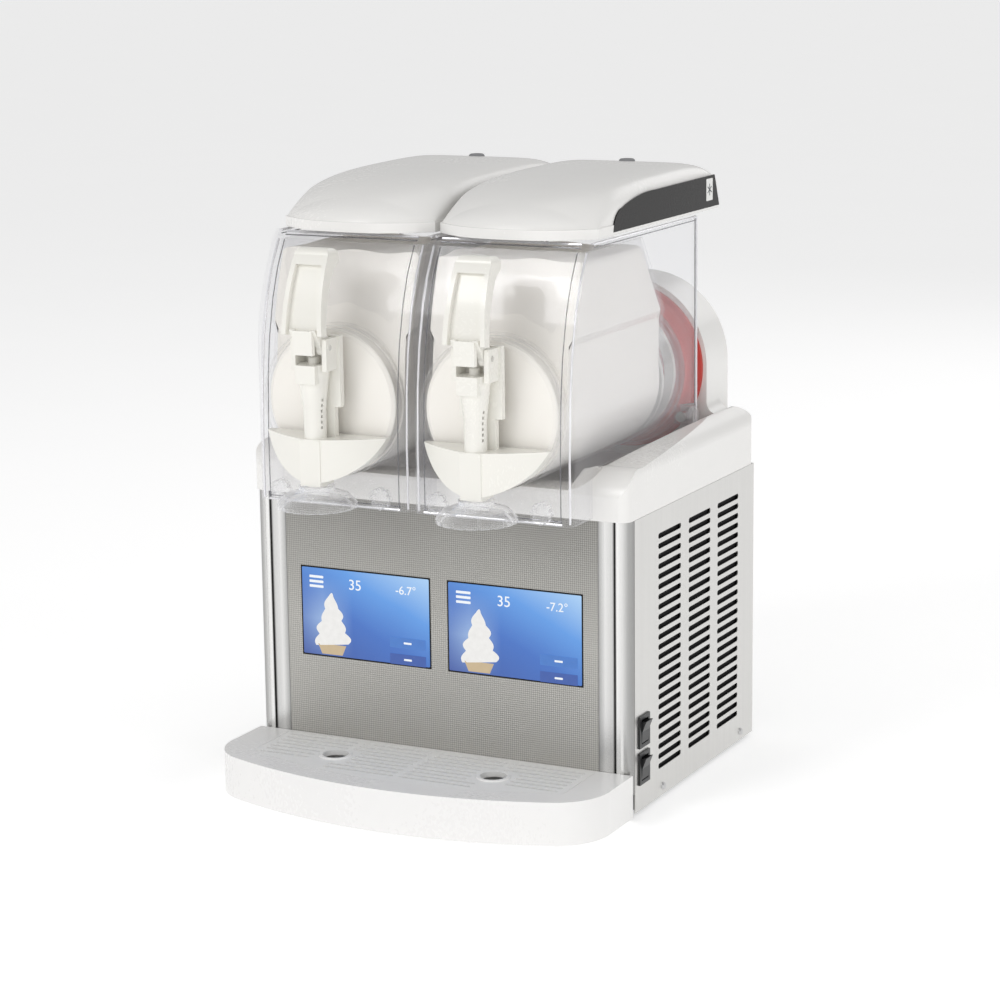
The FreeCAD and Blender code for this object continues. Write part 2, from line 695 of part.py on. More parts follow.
def tank(side):
    """Clear tank: round below, open hopper above, round boss at the front, open behind."""
    outer = join([rod("y", (0.0, axis_z), tank_r, -134.0, tank_back), hopper(0.0),
                  rod("y", (0.0, axis_z), boss_r, boss_front, -130.0),
                  rod("y", (0.0, axis_z), tank_r + 2.5, tank_back - 9.0, tank_back)])
    hollow = join([rod("y", (0.0, axis_z), tank_r - tank_wall, -131.0, tank_back + 1.0),
                   hopper(tank_wall), moved(hopper(tank_wall), 0.0, 0.0, tank_wall + 1.0),
                   rod("y", (0.0, axis_z), boss_r - tank_wall - 0.5, boss_front + tank_wall, -128.0)])
    outlet = rod("y", (0.0, outlet_z), 8.0, boss_front - 1.0, boss_front + 5.0)
    return moved(cut(outer, [hollow, outlet]), side * bowl_x)


def tap_body(side):
    """Spout: a flange and a prow on the boss, a hollow column for the piston and a plate behind it."""
    front, back = boss_front - 15.0, boss_front - 0.1
    bow = [((-40.0, -177.0), (-13.0, tap_y - 11.0)), ((0.0, tap_y - 12.5), (13.0, tap_y - 11.0)),
           ((40.0, -177.0), (68.0, front + 8.0)), (68.0, back)]
    prow = prism("xy", (-68.0, back), [(-68.0, front + 8.0)] + bow, 330.0, 381.0)
    disc = rod("y", (0.0, axis_z), boss_r - 1.0, -230.0, back)
    spout = box((-column_r, column_r), (tap_y - 12.5, front), (column_low + 1.0, 380.0))
    column = moved(lathe([(0.0, column_low), (column_r, column_low), (column_r, 411.0),
                          (column_head_r, 448.0), (column_head_r, column_top), (0.0, column_top)],
                         "z"), 0.0, tap_y)
    plate = join([box((-23.0, 23.0), plate_y, (411.0, 482.0)), box((-16.0, 16.0), plate_y, (370.0, 412.0))])
    web = box((-5.0, 5.0), (tap_y, plate_y[0] + 1.0), (378.0, column_top))
    ears = [box(sorted((off * 14.9, off * 20.0)), (pivot_y - 8.0, plate_y[0] + 1.0),
                (column_top - 6.0, pivot_z + 9.0)) for off in (-1, 1)]
    stop = box((-11.0, 11.0), (tap_y - 17.5, tap_y), (437.0, column_top))
    body = join([prow.common(disc), spout, column, plate, web, stop] + ears)
    bore = rod("z", (0.0, tap_y), plug_r + gap, column_low - 1.0, column_top - 3.0)
    neck = rod("z", (0.0, tap_y), piston_r + gap, column_top - 4.0, column_top + 1.0)
    passage = rod("y", (0.0, outlet_z), 7.0, tap_y, back + 1.0)
    sights = [box((6.5, 16.0), (tap_y - 5.5, tap_y - 3.3), (391.0 + 5.5 * row, 394.0 + 5.5 * row))
              for row in range(6)]
    pins = rod("x", (pivot_y, pivot_z), pin_r, -30.0, 30.0)
    return moved(cut(body, [bore, neck, passage, pins] + sights), side * bowl_x)


def pivot_pins(side):
    pins = [rod("x", (pivot_y, pivot_z), pin_r, *sorted((off * 9.0, off * 20.0)))
            for off in (-1, 1)]
    return moved(Part.Compound(pins), side * bowl_x)


def tap_piston(side):
    profile = [(0.0, 338.0), (plug_r - 1.2, 338.0), (plug_r, 340.0), (plug_r, 346.0),
               (plug_r - 1.0, 347.0), (plug_r - 1.0, 349.0), (plug_r, 350.0), (plug_r, 370.0),
               (piston_r - 1.8, 371.0), (piston_r - 1.8, column_top - 6.0),
               (piston_r, column_top - 6.0), (piston_r, 461.0), (piston_r - 1.0, 462.0), (0.0, 462.0)]
    return moved(lathe(profile, "z"), side * bowl_x, tap_y)


def tap_spring(side):
    """Return spring round the piston's rod."""
    wire_r, coil_r, pitch, low, high = 0.8, 6.4, 6.5, 372.0, 450.0
    section = Part.Wire([Part.Circle(Vector(coil_r, 0, 0), Vector(0, 1, 0), wire_r).toShape()])
    coil = wound(Part.makeHelix(pitch, high - low, coil_r, 0.0), section)
    return moved(coil, side * bowl_x, tap_y, low)


def tap_handle(side):
    """Tall paddle with a raised rim, a deep panel and a curled top, on a fork at its foot."""
    steps = [(-202.0, 486.0), ((-195.0, 528.0), (-179.0, 562.0)), ((-176.0, 567.0), (-168.0, 568.0)),
             ((-159.0, 563.0), (-160.0, 553.0)), (-168.0, 550.0), ((-184.0, 522.0), (-192.0, 484.0))]
    paddle = prism("yz", steps[0], steps[1:], -24.0, 24.0)
    front_view = [(23.0, 480.0), (19.0, 560.0), ((17.0, 566.5), (11.0, 569.0)), (-11.0, 569.0),
                  ((-17.0, 566.5), (-19.0, 560.0)), (-23.0, 480.0)]
    paddle = paddle.common(prism("xz", front_view[0], front_view[1:], -250.0, -100.0))
    sunk = [(18.0, 481.0), (14.5, 553.0), (-14.5, 553.0), (-18.0, 481.0)]
    recess = prism("xz", sunk[0], sunk[1:], -250.0, -100.0)
    skin = prism("yz", (-215.0, 478.0), [((-205.0, 530.0), (-185.0, 572.0)), (-172.0, 566.0),
                                         ((-189.0, 526.0), (-196.5, 478.0))], -24.0, 24.0)
    paddle = paddle.cut(recess.common(skin))
    prongs = []
    for off in (-1, 1):
        x = sorted((off * 9.0, off * 14.5))
        side_view = [(pivot_y - 8.0, pivot_z), ((pivot_y, pivot_z - 8.0), (pivot_y + 8.0, pivot_z)),
                     (pivot_y + 8.0, 481.0), (-190.0, 491.0), (-201.0, 491.0)]
        prongs.append(prism("yz", side_view[0], side_view[1:], *x))
    foot = box((-11.0, 11.0), (-201.0, -195.5), (466.0, 490.0))
    bore = rod("x", (pivot_y, pivot_z), pin_r + running, -30.0, 30.0)
    return moved(join([paddle, foot] + prongs).cut(bore), side * bowl_x)


def nozzle(side):
    """Clear ribbed drip dish round the spout."""
    profile = [(12.5, column_low - 0.1), (18.0, column_low - 0.1), (18.0, 329.0), (32.0, 324.0),
               (40.0, 315.0), (40.0, 311.5), (36.0, 311.5), (28.0, 320.0), (15.0, 323.0),
               (12.5, 323.0)]
    dish = lathe(profile, "z")
    notches = []
    for number in range(18):
        notch = rod("z", (40.5, 0.0), 2.2, 305.0, 330.0)
        notch.rotate(Vector(0, 0, 0), Vector(0, 0, 1), 20.0 * number)
        notches.append(notch)
    skirt_room = box((-50.0, 50.0), (boss_front + 1.6 - tap_y, 60.0), (300.0, 340.0))
    return moved(cut(dish, notches + [skirt_room]), side * bowl_x, tap_y)


def skirt_knobs(side):
    """Star-shaped clear thumb nuts that hold the cover's skirt."""
    knobs = []
    for off in (-57.0, 57.0):
        core = rod("y", (off, 319.0), 8.0, -156.0, -147.6)
        lobes = []
        for number in range(8):
            turn = math.pi / 4 * number
            spot = (off + 8.2 * math.cos(turn), 319.0 + 8.2 * math.sin(turn))
            lobes.append(rod("y", spot, 3.2, -156.0, -149.0))
        knobs.append(join([core] + lobes))
    return moved(Part.Compound(knobs), side * bowl_x)


# lids
def lid_body(inset):
    i = inset
    side_view = [(lid_front + i, 586.0), ((-98.0 + i, 597.0), (-70.0 + i * 0.6, 608.5 - i)),
                 ((-22.0, 619.5 - i), (40.0, 626.5 - i)), ((100.0, lid_top - 1.0 - i), (165.0, lid_top - i)),
                 ((205.0 - i, 626.0 - i), (222.0 - i, 616.0 - i)), (lid_back - i, 590.0),
                 (lid_back - i, lid_low)]
    body = prism("yz", (lid_front + i, lid_low), side_view, -lid_half, lid_half)
    half = lid_half - i
    front_view = [(half, lid_low), (half, 617.0 - i), ((80.0 - i, 624.0 - i), (58.0, 628.2 - i)),
                  ((0.0, lid_top - i), (-58.0, 628.2 - i)), ((-80.0 + i, 624.0 - i), (-half, 617.0 - i))]
    body = body.common(prism("xz", (-half, lid_low), front_view, lid_front, lid_back))
    bow = [((74.0 - i, -91.0 + i * 0.8), (58.0 - i * 0.3, -102.0 + i)),
           ((0.0, lid_front + i), (-58.0 + i * 0.3, -102.0 + i)),
           ((-74.0 + i, -91.0 + i * 0.8), (-half, -78.0)), (-half, lid_back - 14.0),
           ((-half + 4.0, lid_back - 4.0 - i), (-half + 14.0, lid_back - i)),
           (half - 14.0, lid_back - i), ((half - 4.0, lid_back - 4.0 - i), (half, lid_back - 14.0))]
    return body.common(prism("xy", (half, -78.0), bow, lid_low, lid_top))


def lid(side):
    """Hollow hood with a shallow recess for each dark plate and a small knob at the back."""
    knob = rod("z", (0.0, 205.0), 9.0, lid_top - 2.0, lid_top + 4.0)
    recess = [prism("yz", *trim_outline(0.2), *sorted((off * (lid_half - 1.5), off * (lid_half + 1.0))))
              for off in (-1, 1)]
    body = cut(lid_body(0.0), [lid_body(plastic)] + recess)
    return moved(join([body, knob]), side * bowl_x)


def trim_outline(grow):
    g = grow
    return (-46.0 - g, 580.0 - g), [(226.0 + g, 580.0 - g), (213.0 + g, 613.0 + g), (60.0, 612.0 + g),
                                    ((8.0, 609.0 + g), (-24.0 - g, 602.0 + g)),
                                    ((-40.0 - g, 594.0 + g), (-46.0 - g, 580.0 - g))]


def lid_side_trims(side):
    """Dark gloss plates let into both sides of the lid."""
    start, steps = trim_outline(0.0)
    plates = [prism("yz", start, steps, *sorted((off * (lid_half - trim_thick), off * lid_half)))
              for off in (-1, 1)]
    return moved(Part.Compound(plates), side * bowl_x)


# drip tray
def tray_outline(inset):
    i = inset
    corner = 38.0
    half = tray_half - i
    front = -168.0 + i * 0.4
    return (half, tray_back - i), [(half, front + 22.0), ((half - corner * 0.22, front - 12.0),
                                                          (half - corner, front - 36.0 + i)),
                                   ((0.0, tray_apex + i), (-half + corner, front - 36.0 + i)),
                                   ((-half + corner * 0.22, front - 12.0), (-half, front + 22.0)),
                                   (-half, tray_back - i)]


def grid_outline(grow):
    g = grow
    return (grid_half + g, grid_back + g), [(grid_half + g, grid_corner - g),
                                            ((0.0, grid_apex - g), (-grid_half - g, grid_corner - g)),
                                            (-grid_half - g, grid_back + g)]


def drip_tray():
    start, steps = tray_outline(0.0)
    body = prism("xy", start, steps, tray_low, tray_top)
    start, steps = grid_outline(gap)
    seat = prism("xy", start, steps, tray_top - grid_thick - 0.2, tray_top + 1.0)
    start, steps = grid_outline(-5.0)
    well = prism("xy", start, steps, tray_low + 3.0, tray_top)
    return cut(body, [seat, well])


def slot_rows(section):
    """Slots of one of the grid's four sections, shorter where they pass a drain."""
    middle = section * slat_step
    side = math.copysign(1.0, middle)
    front_edge = grid_corner + (grid_apex - grid_corner) * (1.0 - (middle / grid_half) ** 2)
    slots = []
    for row in range(grid_rows):
        y = grid_back - 7.0 - grid_pitch * row
        low, high = middle - slat_half, middle + slat_half
        if abs(y - drain_y) < 22.0:
            inner = abs(middle) < drain_x
            ends = (3.0, drain_x - 21.0) if inner else (drain_x + 21.0, grid_half - 7.0)
            low, high = sorted(side * end for end in ends)
        if y > front_edge + 14.0:
            slots.append(slot_wire("xy", ((low + high) / 2, y), high - low, 3.6))
    return slots


def drip_grid():
    """Slatted plate with a raised rim round each of its two drains."""
    start, steps = grid_outline(0.0)
    border = outline("xy", start, steps)
    wires = []
    for section in (-1.5, -0.5, 0.5, 1.5):
        wires += slot_rows(section)
    rims = []
    rim = lathe([(drain_r, tray_top), (17.0, tray_top), (16.4, tray_top + 1.4),
                 (drain_r, tray_top + 1.4)], "z")
    for side in sides.values():
        centre = Vector(side * drain_x, drain_y, 0)
        wires.append(Part.Wire([Part.Circle(centre, normals["xy"], drain_r).toShape()]))
        rims.append(moved(rim, side * drain_x, drain_y))
    plate = pierced_plate("xy", border, wires, tray_top - grid_thick, tray_top)
    return join([plate] + rims)


# write every piece
def pieces():
    yield "base_pan", base_pan()
    yield "feet", feet()
    yield "corner_posts", corner_posts()
    yield "front_panel", front_panel()
    yield "rear_grille", rear_grille()
    yield "panel_screws", panel_screws()
    yield "switch_frames", switch_frames()
    yield "rocker_upper", rocker(*switch_z[0])
    yield "rocker_lower", rocker(*switch_z[1])
    yield "control_board", control_board()
    yield "cord_gland", cord_gland()
    yield "deck", deck()
    yield "tower_back_cover", tower_back_cover()
    yield "bowl_pins", bowl_pins()
    yield "compressor", compressor()
    yield "condenser", condenser()
    yield "fan_shroud", fan_shroud()
    yield "fan_rotor", fan_rotor()
    yield "filter_drier", filter_drier()
    yield "refrigerant_pipes", refrigerant_pipes()
    yield "drip_tray", drip_tray()
    yield "drip_grid", drip_grid()
    makers = (side_panel, display, evaporator, gasket, shaft_seal, drive_shaft, gearmotor, auger,
              bowl_shell, tank, tap_body, pivot_pins, tap_piston, tap_spring, tap_handle, nozzle,
              skirt_knobs, lid, lid_side_trims)
    for maker in makers:
        for name, side in sides.items():
            yield f"{maker.__name__}_{name}", maker(side)


os.makedirs("parts", exist_ok=True)
for node, shape in pieces():
    shape.exportStep(f"parts/{node}.step")
    size = shape.BoundBox
    print(f"{node:20s} solids {len(shape.Solids):3d} valid {shape.isValid()} "
          f"volume {shape.Volume / 1000:9.2f} cm3  x {size.XMin:.1f} {size.XMax:.1f} "
          f"y {size.YMin:.1f} {size.YMax:.1f} z {size.ZMin:.1f} {size.ZMax:.1f}")
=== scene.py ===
import math

import bmesh
import bpy
import numpy as np
from mathutils import Matrix, Vector


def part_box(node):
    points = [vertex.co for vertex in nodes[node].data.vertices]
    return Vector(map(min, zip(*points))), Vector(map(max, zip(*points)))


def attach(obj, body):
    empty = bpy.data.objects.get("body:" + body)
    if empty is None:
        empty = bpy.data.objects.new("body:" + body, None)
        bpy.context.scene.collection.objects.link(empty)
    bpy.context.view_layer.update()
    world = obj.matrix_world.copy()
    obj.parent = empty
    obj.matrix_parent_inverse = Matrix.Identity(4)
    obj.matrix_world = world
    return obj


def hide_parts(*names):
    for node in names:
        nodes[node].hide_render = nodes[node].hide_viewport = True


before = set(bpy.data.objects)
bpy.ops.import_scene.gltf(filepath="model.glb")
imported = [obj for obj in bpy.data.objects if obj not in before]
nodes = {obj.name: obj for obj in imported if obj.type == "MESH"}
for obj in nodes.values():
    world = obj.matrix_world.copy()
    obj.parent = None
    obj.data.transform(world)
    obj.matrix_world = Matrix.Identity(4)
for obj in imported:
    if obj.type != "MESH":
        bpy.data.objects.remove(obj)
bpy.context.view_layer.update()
scene = bpy.context.scene
sides = {"l": -1, "r": 1}
bowlX = 0.0886  # bowl axes, left and right of the middle
axisZ = 0.412   # height of both drums' axes


class Wire:
    # one socket's value, which adds, multiplies and compares like a number
    def __init__(self, finish, socket):
        self.finish = finish
        self.socket = socket

    def __add__(self, other):
        return self.finish.maths("ADD", self, other)

    def __sub__(self, other):
        return self.finish.maths("SUBTRACT", self, other)

    def __rsub__(self, other):
        return self.finish.maths("SUBTRACT", other, self)

    def __mul__(self, other):
        return self.finish.maths("MULTIPLY", self, other)

    def __truediv__(self, other):
        return self.finish.maths("DIVIDE", self, other)

    def __pow__(self, other):
        return self.finish.maths("POWER", self, other)

    def __gt__(self, other):
        return self.finish.maths("GREATER_THAN", self, other)

    def __lt__(self, other):
        return self.finish.maths("LESS_THAN", self, other)

    def __mod__(self, other):
        return self.finish.maths("FLOORED_MODULO", self, other)

    __radd__ = __add__
    __rmul__ = __mul__

    def also(self, name):
        return Wire(self.finish, self.socket.node.outputs[name])


class Finish:
    # a material, or the studio's air, built from nodes
    def __init__(self, name, owner=None):
        self.owner = owner or bpy.data.materials.new(name)
        self.owner.use_nodes = True
        self.tree = self.owner.node_tree
        self.tree.nodes.clear()

    def node(self, kind, settings=None, inputs=None, out=0):
        made = self.tree.nodes.new(kind)
        for key, value in (settings or {}).items():
            if key == "stops":
                ramp = made.color_ramp
                while len(ramp.elements) < len(value):
                    ramp.elements.new(0.5)
                for element, (place, colour) in zip(ramp.elements, value):
                    element.position = place
                    element.color = (*colour, 1.0) if len(colour) == 3 else colour
            else:
                setattr(made, key, value)
        for key, value in (inputs or {}).items():
            socket = made.inputs[key]
            if isinstance(value, Wire):
                self.tree.links.new(value.socket, socket)
            elif socket.type == "RGBA" and len(value) == 3:
                socket.default_value = (*value, 1.0)
            else:
                socket.default_value = value
        return Wire(self, made.outputs[out]) if len(made.outputs) else made

    def maths(self, what, first, second=0.0):
        return self.node("ShaderNodeMath", {"operation": what}, {0: first, 1: second})

    def clamp(self, value):
        return self.node("ShaderNodeClamp", {}, {"Value": value})

    def place(self, scale=(1.0, 1.0, 1.0), turn=(0.0, 0.0, 0.0), at=(0.0, 0.0, 0.0)):
        spot = self.node("ShaderNodeTexCoord", out="Object")
        if at != (0.0, 0.0, 0.0):
            spot = self.node("ShaderNodeVectorMath", {"operation": "SUBTRACT"}, {0: spot, 1: at})
        return self.node("ShaderNodeMapping", {}, {"Vector": spot, "Scale": scale, "Rotation": turn})

    def axes(self, at=(0.0, 0.0, 0.0)):
        split = self.node("ShaderNodeSeparateXYZ", {}, {"Vector": self.place(at=at)}, "X")
        return split, split.also("Y"), split.also("Z")

    def noise(self, scale, detail=3.0, stretch=(1.0, 1.0, 1.0), rough=0.5):
        return self.node("ShaderNodeTexNoise", {}, {"Vector": self.place(stretch), "Scale": scale,
                                                    "Detail": detail, "Roughness": rough}, "Fac")

    def mixed(self, share, first, second, how="MIX"):
        return self.node("ShaderNodeMix", {"data_type": "RGBA", "blend_type": how, "clamp_factor": True},
                         {0: share, 6: first, 7: second}, 2)

    def tinted(self, tone, shade):
        # a colour made lighter or darker by one varying number
        grey = self.node("ShaderNodeCombineColor", {}, {0: shade, 1: shade, 2: shade})
        return self.mixed(1.0, tone, grey, "MULTIPLY")

    def between(self, value, low, high, start=0.0, end=1.0):
        return self.node("ShaderNodeMapRange", {}, {"Value": value, "From Min": start, "From Max": end,
                                                    "To Min": low, "To Max": high})

    def bump(self, height, strength, distance, after=None):
        inputs = {"Height": height, "Strength": strength, "Distance": distance}
        if after:
            inputs["Normal"] = after
        return self.node("ShaderNodeBump", {}, inputs)

    def plastic(self, **inputs):
        named = {key.replace("_", " "): value for key, value in inputs.items()}
        return self.node("ShaderNodeBsdfPrincipled", {}, named)

    def end(self, shader):
        self.node("ShaderNodeOutputMaterial", {}, {"Surface": shader})
        return self.owner


def mouldedPlastic(name, tone, rough=0.32, grain=1400.0, speck=0.03, coat=0.0, peelDepth=0.10, shine=0.5):
    # moulded plastic: slow drift of tone, faint scuffs, fine orange peel
    f = Finish(name)
    drift = f.noise(7.0, 2.0)
    dirt = f.noise(60.0, 4.0)
    shade = f.between(drift, 1.0 - speck, 1.0 + speck * 0.4) * f.between(dirt, 0.99, 1.01)
    colour = f.tinted(tone, shade)
    peel = f.noise(grain, 2.0)
    scuffs = f.noise(220.0, 3.0, (1.0, 6.0, 1.0))
    gloss = f.between(drift, rough - 0.05, rough + 0.06) + f.between(scuffs, -0.02, 0.05)
    normal = f.bump(peel, peelDepth, 0.0002)
    return f.end(f.plastic(Base_Color=colour, Roughness=gloss, Normal=normal, Coat_Weight=coat,
                           Specular_IOR_Level=shine))


def brushedSteel(name, tone, rough, along, lines=900.0, depth=0.25):
    # brushed sheet: long fine scratches along one axis, soft cloudy patches
    f = Finish(name)
    stretch = tuple(0.012 if axis == along else 1.0 for axis in "xyz")
    fine = f.noise(lines, 3.0, stretch, 0.6)
    wide = f.noise(lines * 0.12, 2.0, stretch)
    cloud = f.noise(4.0, 2.0)
    shade = f.between(fine, 0.93, 1.05) * f.between(wide, 0.96, 1.03) * f.between(cloud, 0.97, 1.02)
    colour = f.tinted(tone, shade)
    gloss = f.between(fine, rough - 0.06, rough + 0.08) + f.between(cloud, -0.03, 0.03)
    normal = f.bump(fine, depth, 0.00012)
    return f.end(f.plastic(Base_Color=colour, Metallic=1.0, Roughness=gloss, Normal=normal))


def paintedReflectionPost(name):
    # bright folded post with painted reflections: a dark line at the fold, then bands of light that run up it
    f = Finish(name)
    x, y, z = f.axes()
    across = f.between(f.maths("ABSOLUTE", x), 0.0, 1.0, 0.1772, 0.2125)
    # painted reflections: light and dark bands across the post's width, put into its base colour
    reflectionBands = [(0.0, 0.20), (0.05, 0.45), (0.22, 0.74), (0.44, 0.60), (0.49, 0.12), (0.54, 0.15), (0.58, 0.86),
             (0.72, 0.70), (0.86, 0.42), (1.0, 0.32)]
    tone = f.node("ShaderNodeValToRGB", {"stops": [(place, (v, v * 0.995, v * 0.98)) for place, v in reflectionBands]},
                  {"Fac": across}, "Color")
    fine = f.noise(1100.0, 3.0, (1.0, 1.0, 0.01), 0.6)
    shade = f.between(fine, 0.94, 1.05)
    colour = f.tinted(tone, shade)
    return f.end(f.plastic(Base_Color=colour, Metallic=f.between(fine, 0.9, 1.0),
                           Roughness=f.between(fine, 0.2, 0.3), Normal=f.bump(fine, 0.15, 0.0001)))


def embossedSheetPaintedShade(name, tone):
    # sheet embossed with two crossing sets of slanting ridges, like linen, with painted shade towards the top
    f = Finish(name)
    x, y, z = f.axes()
    pitch = 0.0044
    first = f.maths("SINE", (x + z) * (2 * math.pi / pitch))
    second = f.maths("SINE", (x - z) * (2 * math.pi / pitch))
    weave = first * second
    ridge = f.between(weave, 0.0, 1.0, -1.0, 1.0)
    cloud = f.noise(5.0, 2.0)
    fine = f.noise(1500.0, 2.0)
    shade = f.between(ridge, 0.62, 1.14) * f.between(cloud, 0.96, 1.03) * f.between(fine, 0.97, 1.03)
    # painted shade: darker towards the top, where the bowls and deck overhang the panel
    shade = shade * f.between(z, 1.0, 0.66, 0.17, 0.30)
    colour = f.tinted(tone, shade)
    normal = f.bump(ridge, 0.6, 0.0005)
    gloss = f.between(ridge, 0.46, 0.34) + f.between(fine, -0.02, 0.03)
    return f.end(f.plastic(Base_Color=colour, Metallic=0.75, Roughness=gloss, Normal=normal))


def clearPlastic(name, tone, haze, rim, power=3.0, rough=0.05):
    # clear sheet: see-through face on, milky and bright where it turns edge on
    f = Finish(name)
    facing = f.node("ShaderNodeLayerWeight", {}, {"Blend": 0.5}, "Facing")
    smear = f.noise(18.0, 3.0)
    wave = f.noise(30.0, 1.0, (1.0, 1.0, 0.3))
    share = f.clamp(f.between(smear, haze * 0.6, haze * 1.4) + (facing ** power) * rim)
    shell = f.plastic(Base_Color=tone, Metallic=0.35, Roughness=f.between(smear, rough, rough + 0.05),
                      Normal=f.bump(wave, 0.05, 0.001))
    through = f.node("ShaderNodeBsdfTransparent", {}, {"Color": (0.985, 0.985, 0.988)})
    return f.end(f.node("ShaderNodeMixShader", {}, {0: share, 1: through, 2: shell}))


def frozenMixGlow(name, tone):
    # frozen cream: soft folds left by the turning scroll, small ice crystals, and a faint painted glow
    f = Finish(name)
    fold = f.node("ShaderNodeTexNoise", {}, {"Vector": f.place((1.0, 2.6, 1.0)), "Scale": 16.0,
                                             "Detail": 4.0, "Distortion": 1.4}, "Fac")
    crystal = f.noise(700.0, 3.0)
    cloud = f.noise(11.0, 3.0)
    shade = f.between(fold, 0.975, 1.015) * f.between(crystal, 0.99, 1.01) * f.between(cloud, 0.985, 1.01)
    colour = f.tinted(tone, shade)
    normal = f.bump(crystal, 0.12, 0.0005, f.bump(fold, 0.10, 0.003))
    # painted glow: the cream gives off a little light of its own colour
    return f.end(f.plastic(Base_Color=colour, Roughness=f.between(fold, 0.42, 0.6), Normal=normal,
                           Emission_Color=colour, Emission_Strength=0.03))


def screenGlow(name, box):
    # lit screen: blue that lightens to one upper corner, a pale band behind the figures
    low, high = box
    f = Finish(name)
    x, y, z = f.axes(at=tuple(low))
    wide = x / (high[0] - low[0])
    tall = z / (high[2] - low[2])
    slope = f.clamp(wide * 0.45 + tall * 0.55 + f.noise(9.0, 2.0) * 0.12 - 0.06)
    ground = f.node("ShaderNodeValToRGB", {"stops": [(0.0, (0.02, 0.07, 0.34)), (0.42, (0.03, 0.15, 0.55)),
                                                     (0.7, (0.10, 0.33, 0.80)), (1.0, (0.42, 0.66, 0.95))]},
                    {"Fac": slope})
    nearX = f.clamp(1.0 - f.maths("ABSOLUTE", wide - 0.16) * 4.2)
    nearZ = f.clamp(1.0 - f.maths("ABSOLUTE", tall - 0.42) * 2.0)
    glow = nearX * nearZ
    picture = f.mixed(glow * 0.55, ground, (0.55, 0.75, 0.98))
    grid = f.between((x % 0.0009) > 0.00012, 0.93, 1.0) * f.between((z % 0.0009) > 0.00012, 0.93, 1.0)
    picture = f.tinted(picture, grid)
    return f.end(f.plastic(Base_Color=(0.01, 0.015, 0.04), Roughness=0.12, Emission_Color=picture,
                           Emission_Strength=0.9, Coat_Weight=0.4))


def litPaint(name, tone, strength=0.8):
    # light shown on the screen, a shade uneven
    f = Finish(name)
    drift = f.between(f.noise(160.0, 2.0), 0.88, 1.04)
    colour = f.tinted(tone, drift)
    return f.end(f.plastic(Base_Color=(0.02, 0.02, 0.02), Roughness=0.2, Emission_Color=colour,
                           Emission_Strength=strength))


def finStack(name, tone, along, pitch):
    # thin aluminium fins: dark gaps at an even pitch, a few bent ones
    f = Finish(name)
    x, y, z = f.axes()
    place = {"x": x, "y": y, "z": z}[along]
    wander = f.noise(25.0, 2.0) * pitch
    gap = ((place + wander) % pitch) < pitch * 0.45
    colour = f.mixed(gap, tone, (0.05, 0.05, 0.05))
    return f.end(f.plastic(Base_Color=colour, Metallic=f.between(gap, 1.0, 0.0), Roughness=0.35,
                           Normal=f.bump(gap, 0.5, 0.0006)))


def circuitBoard(name):
    # board: green lacquer over tracks that cross and break off
    f = Finish(name)
    x, y, z = f.axes()
    tracks = f.maths("MAXIMUM", (x % 0.006) < 0.0011, (z % 0.0075) < 0.0011)
    broken = f.noise(150.0, 1.0) > 0.5
    colour = f.mixed(tracks * broken, (0.02, 0.16, 0.06), (0.10, 0.36, 0.14))
    return f.end(f.plastic(Base_Color=colour, Roughness=f.between(f.noise(90.0), 0.25, 0.5),
                           Normal=f.bump(tracks, 0.3, 0.0002)))


